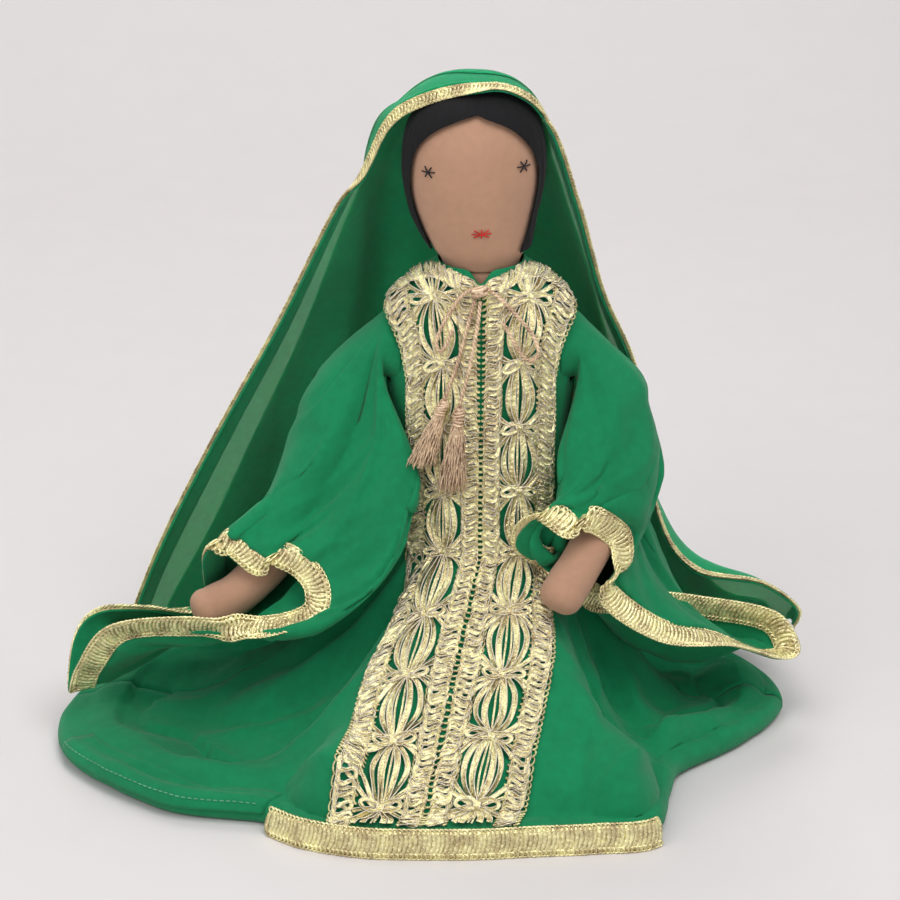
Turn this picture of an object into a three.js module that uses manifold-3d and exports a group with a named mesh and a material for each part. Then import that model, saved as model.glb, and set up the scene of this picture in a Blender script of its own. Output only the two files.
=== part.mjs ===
// A seated cloth doll in a wide-sleeved dress with openwork gold lace, a tasselled tie and a long veil.
// Millimetres, +Z up. The doll faces -Y; the origin is the centre of its seat on the ground.
import * as THREE from 'three';
import { mergeVertices } from 'three/addons/utils/BufferGeometryUtils.js';
import Module from 'manifold-3d';

const wasm = await Module();
wasm.setup();

// Body sizes
const torso_half_width = 46;
const torso_half_depth = 34;
const neck_height = 252;
const head_height = 90;
const head_half_width = 32.5;
const head_half_depth = 27;
const head_lean = -3.5;
const hair_thickness = 2.2;
const arm_radius = 12.5;
const armhole_radius = 16.5;
const armhole_height = 206;
const arm_seat = 36;
const leg_radius = 17;

// Dress sizes
const cloth = 0.9;
const bodice_half_width = 47.5;
const bodice_half_depth = 28.5;
const lap_height = 106;
const skirt_spread = 200;
const skirt_front_share = 0.69;
const skirt_front = skirt_front_share * skirt_spread;
const fold_depth = 4.5;
const fold_count = 11;
const roll_height = 17;
const roll_share = 0.82;
const roll_width_share = 0.16;
const seam_gap = 0.3;
const layer_gap = 1.2;
const sleeve_reach = 200;

// Lace and braid sizes
const lace_width = 46;
const lace_thickness = 1;
const lace_gap = 2.4;
const lace_pitch = 33;
const braid_width = 12;
const braid_thickness = 1.6;
const cuff_braid_thickness = 1;
const smallest_edge = 0.02;
const veil_braid_width = 5;
const braid_gap = 0.7;
const hem_braid_share = 0.86;

// Veil sizes
const veil_reach = 200;
const veil_top = 347;

// Tie sizes
const cord_diameter = 2.2;
const knot_radius = 3.4;
const tassel_length = 38;
const tassel_radius = 5.5;

// Counts
const dress_steps = 46;
const sleeve_steps = 32;
const sleeve_rows = 9;
const veil_steps = 30;
const veil_rows = 11;
const body_steps = 20;
const head_steps = 24;
const limb_steps = 16;

const V = (x, y, z) => new THREE.Vector3(x, y, z);
const lerp = THREE.MathUtils.lerp;

// Smooth curve through values at even steps, open or closed
function along(values, t, closed) {
  const n = values.length;
  const spans = closed ? n : n - 1;
  const at = Math.min(Math.max(t * spans, 0), spans);
  const i = Math.min(Math.floor(at), spans - 1);
  const f = at - i;
  const pick = (k) => (closed ? values[(k + n) % n] : values[Math.min(Math.max(k, 0), n - 1)]);
  const [a, b, c, d] = [pick(i - 1), pick(i), pick(i + 1), pick(i + 2)];
  return b.map((v, k) => {
    const m0 = (c[k] - a[k]) / 2;
    const m1 = (d[k] - v) / 2;
    const f2 = f * f;
    const f3 = f2 * f;
    return (2 * f3 - 3 * f2 + 1) * v + (f3 - 2 * f2 + f) * m0 + (3 * f2 - 2 * f3) * c[k] + (f3 - f2) * m1;
  });
}

function geometry(points, faces) {
  const g = new THREE.BufferGeometry();
  const flat = new Float32Array(points.length * 3);
  points.forEach((p, i) => p.toArray(flat, i * 3));
  g.setAttribute('position', new THREE.BufferAttribute(flat, 3));
  g.setIndex(faces);
  return g;
}

function toSolid(g) {
  const vertProperties = new Float32Array(g.getAttribute('position').array);
  const triVerts = new Uint32Array(g.getIndex().array);
  return new wasm.Manifold(new wasm.Mesh({ numProp: 3, vertProperties, triVerts }));
}

function fromSolid(solid) {
  const m = solid.getMesh();
  const g = new THREE.BufferGeometry();
  g.setAttribute('position', new THREE.BufferAttribute(new Float32Array(m.vertProperties), 3));
  g.setIndex(Array.from(m.triVerts));
  return g;
}

// Cloth or braid over a grid of points, from one height above the grid to another, on chosen rows
function layer(rows, low, high, closed, flip, first = 0, last = rows.length - 1) {
  const h = rows.length;
  const w = rows[0].length;
  const wrap = (j) => (closed ? (j + w) % w : Math.min(Math.max(j, 0), w - 1));
  const at = (i, j) => rows[Math.min(Math.max(i, 0), h - 1)][wrap(j)];
  const points = [];
  for (const height of [high, low]) {
    for (let i = first; i <= last; i += 1) {
      for (let j = 0; j < w; j += 1) {
        const du = at(i, j + 1).clone().sub(at(i, j - 1));
        const dv = at(i + 1, j).clone().sub(at(i - 1, j));
        const n = du.cross(dv).normalize().multiplyScalar(flip ? -height : height);
        points.push(at(i, j).clone().add(n));
      }
    }
  }
  const faces = [];
  const n = last - first + 1;
  const quad = (a, b, c, d) => faces.push(...(flip ? [a, c, b, a, d, c] : [a, b, c, a, c, d]));
  const id = (s, i, j) => s * n * w + i * w + (closed ? j % w : j);
  const columns = closed ? w : w - 1;
  for (let i = 0; i < n - 1; i += 1) {
    for (let j = 0; j < columns; j += 1) {
      quad(id(0, i, j), id(0, i, j + 1), id(0, i + 1, j + 1), id(0, i + 1, j));
      quad(id(1, i, j), id(1, i + 1, j), id(1, i + 1, j + 1), id(1, i, j + 1));
    }
  }
  for (let j = 0; j < columns; j += 1) {
    quad(id(1, 0, j), id(1, 0, j + 1), id(0, 0, j + 1), id(0, 0, j));
    quad(id(0, n - 1, j), id(0, n - 1, j + 1), id(1, n - 1, j + 1), id(1, n - 1, j));
  }
  if (!closed) {
    for (let i = 0; i < n - 1; i += 1) {
      quad(id(0, i, 0), id(0, i + 1, 0), id(1, i + 1, 0), id(1, i, 0));
      quad(id(1, i, w - 1), id(1, i + 1, w - 1), id(0, i + 1, w - 1), id(0, i, w - 1));
    }
  }
  return geometry(points, faces);
}

// Stuffed form through closed rings, with a middle point on each end
function stuffed(rings) {
  const w = rings[0].length;
  const points = rings.flat();
  const ends = [rings[0], rings[rings.length - 1]];
  for (const ring of ends) {
    points.push(ring.reduce((s, p) => s.add(p), V(0, 0, 0)).divideScalar(w));
  }
  const faces = [];
  const first = rings.length * w;
  for (let j = 0; j < w; j += 1) {
    const k = (j + 1) % w;
    for (let i = 0; i < rings.length - 1; i += 1) {
      const [a, b, c, d] = [i * w + j, i * w + k, (i + 1) * w + k, (i + 1) * w + j];
      faces.push(a, b, c, a, c, d);
    }
    faces.push(first, k, j);
    faces.push(first + 1, (rings.length - 1) * w + j, (rings.length - 1) * w + k);
  }
  return geometry(points, faces);
}

// Ring of a rounded box section, level at height z
function levelRing(z, a, b, x, steps, squareness) {
  const ring = [];
  for (let j = 0; j < steps; j += 1) {
    const t = (j / steps) * 2 * Math.PI;
    const c = Math.cos(t);
    const s = Math.sin(t);
    const r = (Math.abs(c) ** squareness + Math.abs(s) ** squareness) ** (-1 / squareness);
    ring.push(V(x + a * r * c, b * r * s, z));
  }
  return ring;
}

// Limb along a curve of [x, y, z, radius] stations
function limb(stations, rows) {
  const rings = [];
  const place = (t) => V(...along(stations, t, false).slice(0, 3));
  for (let i = 0; i <= rows; i += 1) {
    const t = i / rows;
    const r = along(stations, t, false)[3];
    const step = 1 / rows / 4;
    const way = place(Math.min(t + step, 1)).sub(place(Math.max(t - step, 0))).normalize();
    const side = V(0, 0, 1).cross(way).normalize();
    const up = way.clone().cross(side);
    const ring = [];
    for (let j = 0; j < limb_steps; j += 1) {
      const a = (j / limb_steps) * 2 * Math.PI;
      ring.push(place(t).addScaledVector(side, r * Math.cos(a)).addScaledVector(up, r * Math.sin(a)));
    }
    rings.push(ring);
  }
  return stuffed(rings);
}

// Legs: each runs from the hip to a foot that holds up a corner of the hem
const hip_shares = [0.42, -0.45];
const foot_shares = [1.56, -3.2];
const hip = hip_shares.map((s) => s * torso_half_width);
const foot = [foot_shares[0] * torso_half_width, foot_shares[1] * torso_half_depth];
const leg_swell_shares = [0.9, 1, 0.94, 0.86, 0.88, 0.9, 0.55];
const leg_length_share = 0.92;
const hip_swing = 3;

function legStations(side) {
  return leg_swell_shares.map((s, i) => {
    const t = (leg_length_share * i) / (leg_swell_shares.length - 1);
    return [side * lerp(hip[0], foot[0], t), lerp(hip[1], foot[1], t), leg_radius, leg_radius * s];
  });
}

// Dress: outline of the hem on the ground, as reach shares at even turns from the doll's left side
const hem_reach_shares = [
  0.8, 0.78, 0.72, 0.6, 0.45, 0.36, 0.32, 0.31, 0.31, 0.31, 0.32, 0.36, 0.44, 0.58, 0.8, 1,
  1.09, 1.12, 1.03, 0.93, 0.79, 0.77, 0.74, 0.705, 0.69, 0.69, 0.72, 0.76, 0.66, 0.6, 0.64, 0.72,
];
const bodice_shares = [
  [1, 0.45, 0.72], [0.985, 0.6, 0.8], [0.95, 0.82, 0.9], [0.91, 0.97, 0.97],
  [0.82, 1, 1], [0.66, 0.93, 1], [0.5, 0.89, 1.01], [0.42, 0.92, 1.05],
];

function hemReach(turn) {
  const [share] = along(hem_reach_shares.map((s) => [s]), turn, true);
  return share * skirt_spread;
}

// How much the cloth falls at once from the waist: none over the lap, much at the sides and back
function fall(turn) {
  const front = Math.cos((turn - 0.75) * 2 * Math.PI);
  return 1 + 1.5 * (1 - THREE.MathUtils.smoothstep(front, 0.35, 0.85));
}

function waistReach(turn) {
  const a = bodice_half_width * bodice_shares[7][1];
  const b = bodice_half_depth * bodice_shares[7][2];
  const t = turn * 2 * Math.PI;
  return 1 / Math.hypot(Math.cos(t) / a, Math.sin(t) / b);
}

function overLeg(x, y) {
  let top = 0;
  for (const side of [-1, 1]) {
    const ax = side * hip[0];
    const bx = side * foot[0];
    const dx = bx - ax;
    const dy = foot[1] - hip[1];
    const t = THREE.MathUtils.clamp(((x - ax) * dx + (y - hip[1]) * dy) / (dx * dx + dy * dy), 0, 1);
    const away = Math.hypot(x - ax - t * dx, y - hip[1] - t * dy);
    const rise = (2 * leg_radius + 7 * layer_gap) / 2;
    top = Math.max(top, rise * (1 + Math.cos(Math.PI * Math.min(away / (2.5 * leg_radius), 1))));
  }
  return top;
}

function skirtHeight(x, y) {
  const turn = (Math.atan2(y, x) / (2 * Math.PI) + 1) % 1;
  const inner = waistReach(turn);
  const outer = hemReach(turn);
  const reach = Math.hypot(x, y);
  const t = THREE.MathUtils.clamp((reach - inner) / (outer - inner), 0, 1);
  if (reach > outer + braid_thickness + 3 * layer_gap) {
    return 0;
  }
  const front = THREE.MathUtils.smoothstep(Math.cos((turn - 0.75) * 2 * Math.PI), 0.5, 0.9);
  const waves = (1 - front) * fold_depth * Math.sin(turn * 2 * Math.PI * fold_count);
  const side = THREE.MathUtils.smoothstep(Math.abs(Math.cos(turn * 2 * Math.PI)), 0.6, 0.9);
  const roll = side * roll_height * Math.exp(-(((t - roll_share) / roll_width_share) ** 2));
  const base = lap_height * (1 - t) ** fall(turn) + waves * Math.sin(Math.PI * t ** 1.5) + roll;
  const sharp = 2 * cloth;
  const mixed = sharp * Math.log(Math.exp(base / sharp) + Math.exp(overLeg(x, y) * (1 - t ** 12) / sharp));
  return Math.max(mixed * (1 - t ** 16), braid_width);
}

// One ring of the dress: below 1 the bodice from the neck to the lap, past 1 the skirt from lap to hem
function dressPoint(turn, s) {
  const t = turn * 2 * Math.PI;
  if (s <= 1) {
    const [z, a, b] = along(bodice_shares, s, false);
    return V(
      a * bodice_half_width * Math.cos(t),
      b * bodice_half_depth * Math.sin(t),
      s === 1 ? lap_height : z * neck_height,
    );
  }
  const reach = lerp(waistReach(turn), hemReach(turn), s - 1);
  const x = reach * Math.cos(t);
  const y = reach * Math.sin(t);
  return V(x, y, s === 2 ? 0 : skirtHeight(x, y));
}

const bodice_rows = [0, 0.1, 0.22, 0.36, 0.55, 0.75, 0.9];
const skirt_row_shares = [0.08, 0.22, 0.4, 0.6, 0.8, 0.94, 0.99, 1];
const dress_rows = [...bodice_rows, 1, ...skirt_row_shares.map((s) => s + 1)];

function dressGrid(rows, steps) {
  return rows.map((s) => {
    const ring = [];
    for (let j = 0; j < steps; j += 1) {
      ring.push(dressPoint(j / steps, s));
    }
    return ring;
  });
}

// Turned or boxed cutter that a boolean can use
function cutter(shape, x, y, z) {
  const g = mergeVertices(shape.deleteAttribute('normal').deleteAttribute('uv'));
  return toSolid(g.translate(x, y, z));
}

// Cuts a piece by its neighbours and keeps its main body, without crumbs
function cut(solid, ...tools) {
  const left = tools.reduce((rest, tool) => rest.subtract(tool), solid);
  const bodies = left.decompose().sort((a, b) => b.volume() - a.volume());
  return fromSolid(bodies[0].simplify(smallest_edge));
}

// Dress panels: one shell, opened for the arms and parted at the side seams
const dress_grid = dressGrid(dress_rows, dress_steps);
const dress_shell = toSolid(layer(dress_grid, -cloth, 0, true, true));
const wide = 4 * skirt_spread;
const armholes = [-1, 1].map((side) => {
  const radius = armhole_radius + seam_gap;
  const tube = new THREE.CylinderGeometry(radius, radius, torso_half_width, 32).rotateZ(Math.PI / 2);
  return cutter(tube, side * (arm_seat - seam_gap + torso_half_width / 2), 0, armhole_height);
});
const front_half = cutter(new THREE.BoxGeometry(wide, wide, wide), 0, (wide - seam_gap) / -2, 0);
const back_half = cutter(new THREE.BoxGeometry(wide, wide, wide), 0, (wide - seam_gap) / 2, 0);
const ground = cutter(new THREE.BoxGeometry(wide, wide, lap_height), 0, 0, lap_height / -2);
const dress_front = cut(dress_shell, ground, ...armholes, back_half);
const dress_back = cut(dress_shell, ground, ...armholes, front_half);

// Torso, cut by the armholes so that the sleeves turn freely
const torso_shares = [
  [0, 0.87, 0.88, 2.4], [0.05, 1, 1, 2.3], [0.16, 0.98, 0.97, 2.2], [0.37, 0.78, 0.74, 2],
  [0.6, 0.78, 0.7, 2], [0.77, 0.8, 0.68, 2.2], [0.86, 0.78, 0.64, 2.2], [0.915, 0.7, 0.58, 2],
  [0.955, 0.48, 0.51, 2], [1, 0.39, 0.485, 2],
];
const torso = cut(toSolid(stuffed(torso_shares.map(([z, a, b, n]) => (
  levelRing(z * neck_height, a * torso_half_width, b * torso_half_depth, 0, body_steps, n)
)))), ...armholes);

// Head and hair
const head_shares = [
  [0, 0.58, 0.64], [0.04, 0.62, 0.68], [0.12, 0.74, 0.78], [0.3, 0.9, 0.91], [0.51, 1, 1],
  [0.716, 0.955, 0.98], [0.86, 0.78, 0.82], [0.952, 0.5, 0.55], [0.99, 0.16, 0.18],
];
const head_base = neck_height + seam_gap;

function headRings(grow) {
  return head_shares.map(([z, a, b]) => {
    const lean = head_lean * THREE.MathUtils.smoothstep(z, 0, 0.3);
    const level = head_base + z * head_height + (z > 0.5 ? grow : 0);
    return levelRing(level, a * head_half_width + grow, b * head_half_depth + grow, lean, head_steps, 2);
  });
}

const head_solid = toSolid(stuffed(headRings(0)));
const head = fromSolid(head_solid);
const face_shares = [
  [-0.6, -0.3], [-0.6, 0.075], [-0.76, 0.22], [-0.92, 0.4], [-0.93, 0.56], [-0.82, 0.7], [-0.53, 0.81],
  [-0.04, 0.885], [0.18, 0.87], [0.54, 0.81], [0.82, 0.7], [0.94, 0.56],
  [0.91, 0.4], [0.8, 0.22], [0.66, 0.075], [0.66, -0.3],
];
const face_outline = new THREE.Shape(face_shares.map(([x, z]) => (
  new THREE.Vector2(x * head_half_width + head_lean, head_base + z * head_height)
)));
const face_depth = { depth: 2 * head_half_depth, bevelEnabled: false };
const face_block = new THREE.ExtrudeGeometry(face_outline, face_depth).rotateX(Math.PI / 2);
const face_cutter = cutter(face_block, 0, -head_half_depth / 4, 0);
const nape_height = 0.1 * head_height;
const nape_cutter = cutter(
  new THREE.BoxGeometry(4 * head_half_width, 4 * head_half_depth, 2 * nape_height), 0, 0, head_base,
);
const hair_outside = toSolid(stuffed(headRings(hair_thickness)));
const hair_inside = toSolid(stuffed(headRings(seam_gap)));
const hair = cut(hair_outside, hair_inside, face_cutter, nape_cutter);

// Arms: stations from the shoulder seam to the tip of the hand, as shares of the sleeves' reach
const arm_right_shares = [
  [-0.16, 0, 1], [-0.28, 0, 0.98], [-0.36, 0, 0.79], [-0.44, -0.03, 0.61],
  [-0.52, -0.075, 0.48], [-0.6, -0.11, 0.405], [-0.67, -0.13, 0.37], [-0.72, -0.145, 0.355],
];
const arm_left_shares = [
  [0.16, 0, 1], [0.27, -0.015, 0.98], [0.325, -0.05, 0.83], [0.34, -0.1, 0.71],
  [0.305, -0.145, 0.61], [0.25, -0.21, 0.53], [0.21, -0.25, 0.48], [0.18, -0.285, 0.44],
];
const arm_swell_shares = [0.8, 0.84, 0.95, 0.92, 0.84, 0.8, 0.82, 0.5];

function armStations(shares) {
  return shares.map(([x, y, z], i) => (
    [x * sleeve_reach, y * sleeve_reach, z * armhole_height, arm_radius * arm_swell_shares[i]]
  ));
}

// Sleeves: each runs from a round armhole to a wide cuff, with a long tail that lies on the skirt
const cuff_right_shares = [
  [-0.735, -0.09, 0.42], [-0.69, -0.125, 0.51], [-0.65, -0.13, 0.555], [-0.58, -0.15, 0.52],
  [-0.525, -0.165, 0.545], [-0.47, -0.18, 0.52], [-0.435, -0.21, 0.465], [-0.45, -0.24, 0.41],
  [-0.58, -0.25, 0.385],
  [-0.75, -0.225, 0.39], [-0.935, -0.195, 0.355], [-1.02, -0.17, 0.23], [-1.045, -0.14, 0.15],
  [-1.03, -0.08, 0.26], [-0.98, -0.05, 0.33], [-0.87, -0.045, 0.36],
];
const cuff_left_shares = [
  [0.26, -0.175, 0.455], [0.11, -0.195, 0.55], [0.09, -0.21, 0.61], [0.145, -0.225, 0.67],
  [0.205, -0.25, 0.645], [0.255, -0.235, 0.665], [0.32, -0.205, 0.6], [0.33, -0.22, 0.53],
  [0.3, -0.235, 0.45],
  [0.45, -0.21, 0.33], [0.63, -0.15, 0.28], [0.76, -0.07, 0.2], [0.815, -0.02, 0.2],
  [0.76, 0.03, 0.28], [0.56, 0, 0.34], [0.39, -0.08, 0.4],
];
const sag_right_shares = [
  [0, 0.06, 0.04], [0, 0.03, -0.08], [0, 0.02, -0.09], [0.03, 0, -0.08], [0.06, -0.02, -0.07],
  [0.09, -0.05, -0.06], [0.12, -0.07, -0.08], [0.12, -0.1, -0.1], [0.11, -0.12, -0.16],
  [0.1, -0.1, -0.2], [0.05, -0.06, -0.22], [0, -0.02, -0.2], [0, 0.02, -0.2],
  [0, 0.06, -0.16], [0, 0.08, -0.12], [0, 0.08, -0.06],
];
const sag_left_shares = [
  [0, -0.06, -0.12], [0.05, -0.05, -0.1], [0.08, -0.03, -0.07], [0.13, 0, -0.04], [0.16, 0.04, -0.04],
  [0.18, 0.08, -0.05], [0.18, 0.07, -0.06], [0.16, 0.05, -0.06], [0.12, 0.03, -0.07],
  [0.05, 0.01, -0.07], [0, 0, -0.08], [0, 0, -0.1], [0, 0.02, -0.1],
  [0, 0.02, -0.1], [0, -0.02, -0.12], [0, -0.05, -0.13],
];

const sleeve_start = arm_seat + 2.5 * layer_gap;

function sleeveGrid(cuff, sag, side, first_turn, rise, arm) {
  const scale = (list, t) => V(...along(list, t, true)).multiplyScalar(sleeve_reach);
  const rows = [];
  for (let i = 0; i < sleeve_rows; i += 1) {
    const s = i / (sleeve_rows - 1);
    const ring = [];
    for (let j = 0; j < sleeve_steps; j += 1) {
      const t = j / sleeve_steps;
      const a = (t + first_turn) * 2 * Math.PI;
      const start = V(
        side * sleeve_start,
        -armhole_radius * Math.sin(a),
        armhole_height + rise * armhole_radius * Math.cos(a),
      );
      const p = start.clone().lerp(scale(cuff, t), s).addScaledVector(scale(sag, t), 4 * s * (1 - s));
      ring.push(i < 2 ? V(side * lerp(sleeve_start, bodice_half_width + layer_gap, i), start.y, start.z) : p);
    }
    rows.push(ring);
  }
  const roomy = overArm(rows, armStations(arm));
  const settled = roomy.map((ring, i) => (i < 2 ? ring : ring.map((p) => overDress(p))));
  const cuff_row = settled[sleeve_rows - 1];
  const above = settled[sleeve_rows - 2];
  settled.splice(sleeve_rows - 1, 0, cuff_row.map((p, j) => (
    p.clone().add(above[j].clone().sub(p).setLength(braid_width))
  )));
  return settled;
}

// Moves a sleeve out from the arm inside it, along the cloth's own outward direction
function overArm(rows, stations) {
  const axis = [];
  const axis_steps = 40;
  for (let i = 0; i <= axis_steps; i += 1) {
    axis.push(along(stations, i / axis_steps, false));
  }
  const w = rows[0].length;
  return rows.map((ring, i) => ring.map((p, j) => {
    if (i < 2 || i > rows.length - 2) {
      return p;
    }
    const du = ring[(j + 1) % w].clone().sub(ring[(j + w - 1) % w]);
    const dv = rows[Math.min(i + 1, rows.length - 1)][j].clone().sub(rows[i - 1][j]);
    const out = dv.cross(du).normalize();
    let push = 0;
    for (const [x, y, z, r] of axis) {
      const away = p.clone().sub(V(x, y, z));
      const room = r + 5 * layer_gap;
      const out_part = away.dot(out);
      const across = Math.sqrt(Math.max(away.lengthSq() - out_part ** 2, 0));
      if (across < room && away.length() < 1.6 * room) {
        push = Math.max(push, Math.sqrt(room ** 2 - across ** 2) - out_part);
      }
    }
    return p.clone().addScaledVector(out, push);
  }));
}

// Lifts a point clear of the skirt and out of the bodice
function overDress(p) {
  const soft = 4 * layer_gap;
  const room = skirtHeight(p.x, p.y) + lace_gap + lace_thickness + 2 * layer_gap + cloth;
  const over = (p.z - room) / soft;
  const z = room + soft * (over > 30 ? over : Math.log(1 + Math.exp(over)));
  const a = bodice_half_width + 4 * layer_gap;
  const b = bodice_half_depth + 5 * layer_gap;
  const near = Math.hypot(p.x / a, p.y / b);
  const push = near < 1 ? 1 / near : 1;
  return V(p.x * push, p.y * push, z);
}

const sleeve_right_grid = sleeveGrid(cuff_right_shares, sag_right_shares, -1, 0, 1, arm_right_shares);
const sleeve_left_grid = sleeveGrid(cuff_left_shares, sag_left_shares, 1, 0.12, -1, arm_left_shares);

// Veil: from the edge that frames the face, round the back to the hem on the ground
const veil_edge_shares = [
  [-0.975, 0.25, 0.003], [-0.84, 0.24, 0.207], [-0.675, 0.22, 0.403], [-0.5, 0.17, 0.597],
  [-0.33, 0.08, 0.813], [-0.25, 0.0, 0.896], [-0.17, -0.05, 0.974], [-0.01, -0.08, 1.0],
  [0.145, -0.03, 0.942], [0.23, 0.04, 0.807], [0.3, 0.1, 0.657], [0.395, 0.15, 0.513], [0.46, 0.19, 0.282],
  [0.56, 0.18, 0.19], [0.735, 0.16, 0.173], [0.83, 0.14, 0.138], [0.825, 0.16, 0.104],
];
const veil_upper_shares = [
  [-0.94, 0.29, 0.017], [-0.815, 0.32, 0.144], [-0.64, 0.33, 0.288], [-0.46, 0.3, 0.461],
  [-0.31, 0.24, 0.669], [-0.25, 0.21, 0.772], [-0.17, 0.18, 0.865], [-0.03, 0.18, 0.916],
  [0.11, 0.19, 0.836], [0.21, 0.22, 0.692], [0.29, 0.25, 0.548], [0.39, 0.28, 0.418], [0.49, 0.3, 0.242],
  [0.59, 0.29, 0.179], [0.735, 0.25, 0.156], [0.825, 0.21, 0.127], [0.825, 0.19, 0.104],
];
const veil_lower_shares = [
  [-0.915, 0.33, 0.009], [-0.815, 0.38, 0.069], [-0.67, 0.42, 0.13], [-0.515, 0.43, 0.216],
  [-0.38, 0.41, 0.346], [-0.29, 0.39, 0.432], [-0.2, 0.37, 0.504], [-0.04, 0.35, 0.548],
  [0.125, 0.36, 0.519], [0.23, 0.38, 0.432], [0.32, 0.4, 0.317], [0.42, 0.41, 0.231], [0.53, 0.41, 0.127],
  [0.62, 0.38, 0.104], [0.73, 0.32, 0.098], [0.805, 0.26, 0.104], [0.82, 0.22, 0.098],
];
const veil_hem_shares = [
  [-0.89, 0.36, 0.003], [-0.825, 0.42, 0.003], [-0.725, 0.47, 0.003], [-0.6, 0.52, 0.003],
  [-0.45, 0.56, 0.003], [-0.35, 0.585, 0.003], [-0.225, 0.605, 0.003], [-0.05, 0.62, 0.003],
  [0.125, 0.61, 0.003], [0.25, 0.595, 0.003], [0.36, 0.57, 0.003], [0.475, 0.53, 0.003],
  [0.575, 0.49, 0.006], [0.65, 0.44, 0.023], [0.725, 0.37, 0.052], [0.79, 0.3, 0.075],
  [0.815, 0.25, 0.086],
];
const veil_folds = 7;
const veil_fold_depth = 3.5;

// Pushes a point of the veil out of the hair
function overHair(p) {
  const roundness = 2.4;
  const centre = V(head_lean, 0, head_base + head_height / 2);
  const room = hair_thickness + 3 * layer_gap;
  const away = p.clone().sub(centre);
  const near = (
    Math.abs(away.x / (head_half_width + room)) ** roundness
    + Math.abs(away.y / (head_half_depth + room)) ** roundness
    + Math.abs(away.z / (head_height / 2 + 2 * room)) ** roundness
  ) ** (1 / roundness);
  return near < 1 ? centre.addScaledVector(away, 1 / near) : p;
}

function veilPoint(across, down) {
  const tables = [veil_edge_shares, veil_upper_shares, veil_lower_shares, veil_hem_shares];
  const line = tables.map((table) => {
    const [x, y, z] = along(table, across, false);
    return [x * veil_reach, y * veil_reach, z * veil_top];
  });
  const p = V(...along(line, down, false));
  p.y += veil_fold_depth * Math.sin(across * 2 * Math.PI * veil_folds) * Math.sin(Math.PI * down ** 1.3);
  const q = overHair(p);
  const under = skirtHeight(q.x, q.y);
  q.z = under > 0 ? Math.max(q.z, under + 4 * layer_gap) : Math.max(q.z, 0);
  return q;
}

function veilGrid() {
  const rows = [];
  for (let i = 0; i <= veil_rows; i += 1) {
    const down = i / veil_rows;
    const row = [];
    for (let j = 0; j <= veil_steps; j += 1) {
      row.push(veilPoint(j / veil_steps, down));
    }
    rows.push(row);
  }
  const braid_row = rows[0].map((p, j) => (
    p.clone().add(rows[1][j].clone().sub(p).setLength(veil_braid_width))
  ));
  rows.splice(1, 0, braid_row);
  return rows;
}
const veil_grid = veilGrid();
const veil_braid_low = cloth + seam_gap;
const veil_braid_high = veil_braid_low + braid_thickness / 2;
const veil_braid = layer(veil_grid, veil_braid_low, veil_braid_high, false, false, 0, 1);

// Lace: one cell of the pattern as an outline with its openings, in shares of the strip's width and pitch
const almond_steps = 6;
const opening_point_share = 0.12;
const almond_shares = [
  [0.405, 0.5, 0.068, 0.4], [0.595, 0.5, 0.068, 0.4], [0.275, 0.5, 0.04, 0.3], [0.725, 0.5, 0.04, 0.3],
];
const eyelet_shares = [
  [0.1, 0.25, 0.05, 0.13], [0.1, 0.75, 0.05, 0.13], [0.9, 0.25, 0.05, 0.13], [0.9, 0.75, 0.05, 0.13],
];
const cell_end_shares = [0, 0.18, 0.34, 0.5, 0.66, 0.82, 1];
const cell_outline_shares = [
  ...cell_end_shares.map((x) => [x, 0]), [1.02, 0.5],
  ...cell_end_shares.map((x) => [1 - x, 1]), [-0.02, 0.5],
];

function opening([x, y, half_width, half_length], steps) {
  const points = [];
  for (let k = 0; k < steps; k += 1) {
    const a = (k / steps) * 2 * Math.PI;
    const pointed = 1 - opening_point_share * Math.abs(Math.sin(a));
    points.push(new THREE.Vector2(x + half_width * Math.sin(a), y + half_length * Math.cos(a) * pointed));
  }
  return points;
}

const cell_outline = cell_outline_shares.map(([x, y]) => new THREE.Vector2(x, y));
const cell_holes = [
  ...almond_shares.map((shares) => opening(shares, almond_steps)),
  ...eyelet_shares.map((shares) => opening(shares, almond_steps / 2)),
];
const cell_points = [...cell_outline, ...cell_holes.flat()];
const cell_faces = THREE.ShapeUtils.triangulateShape(cell_outline, cell_holes);
const lace_drift_share = -0.65;
const lace_narrow_share = 0.77;
const lace_top_share = 0.985;
const lace_shoulder_drop_share = 0.05;
const lace_start = neck_height * lace_top_share;
const lace_slope_front = skirt_front - braid_thickness;
const lace_bodice_length = lace_start - lap_height;
const lace_slope_length = Math.hypot(lace_slope_front - bodice_half_depth, lap_height);

const dress_face = new THREE.Mesh(layer(dress_grid, -cloth, 0, true, true));
const ray = new THREE.Raycaster();

// The point where a straight look at the dress meets its cloth
function onDress(from, way) {
  ray.set(from, way);
  const [hit] = ray.intersectObject(dress_face);
  return hit ? hit.point : from;
}

function laceSurface(side, across, run) {
  const on_skirt = THREE.MathUtils.clamp((run - lace_bodice_length) / lace_slope_length, 0, 1);
  const width = lace_width * lerp(lace_narrow_share, 1, THREE.MathUtils.smoothstep(on_skirt, 0, 0.4));
  const x = side * (layer_gap + across * width) + on_skirt * lace_drift_share * lace_width;
  if (run <= lace_bodice_length) {
    const top = lace_start - neck_height * lace_shoulder_drop_share * across ** 2;
    const z = lerp(top, lap_height, run / lace_bodice_length);
    return onDress(V(x, -skirt_front, Math.max(z, lap_height + seam_gap)), V(0, 1, 0));
  }
  const y = lerp(-bodice_half_depth * bodice_shares[7][2], -lace_slope_front, on_skirt);
  return onDress(V(x, y, 2 * lap_height), V(0, 0, -1));
}

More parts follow.
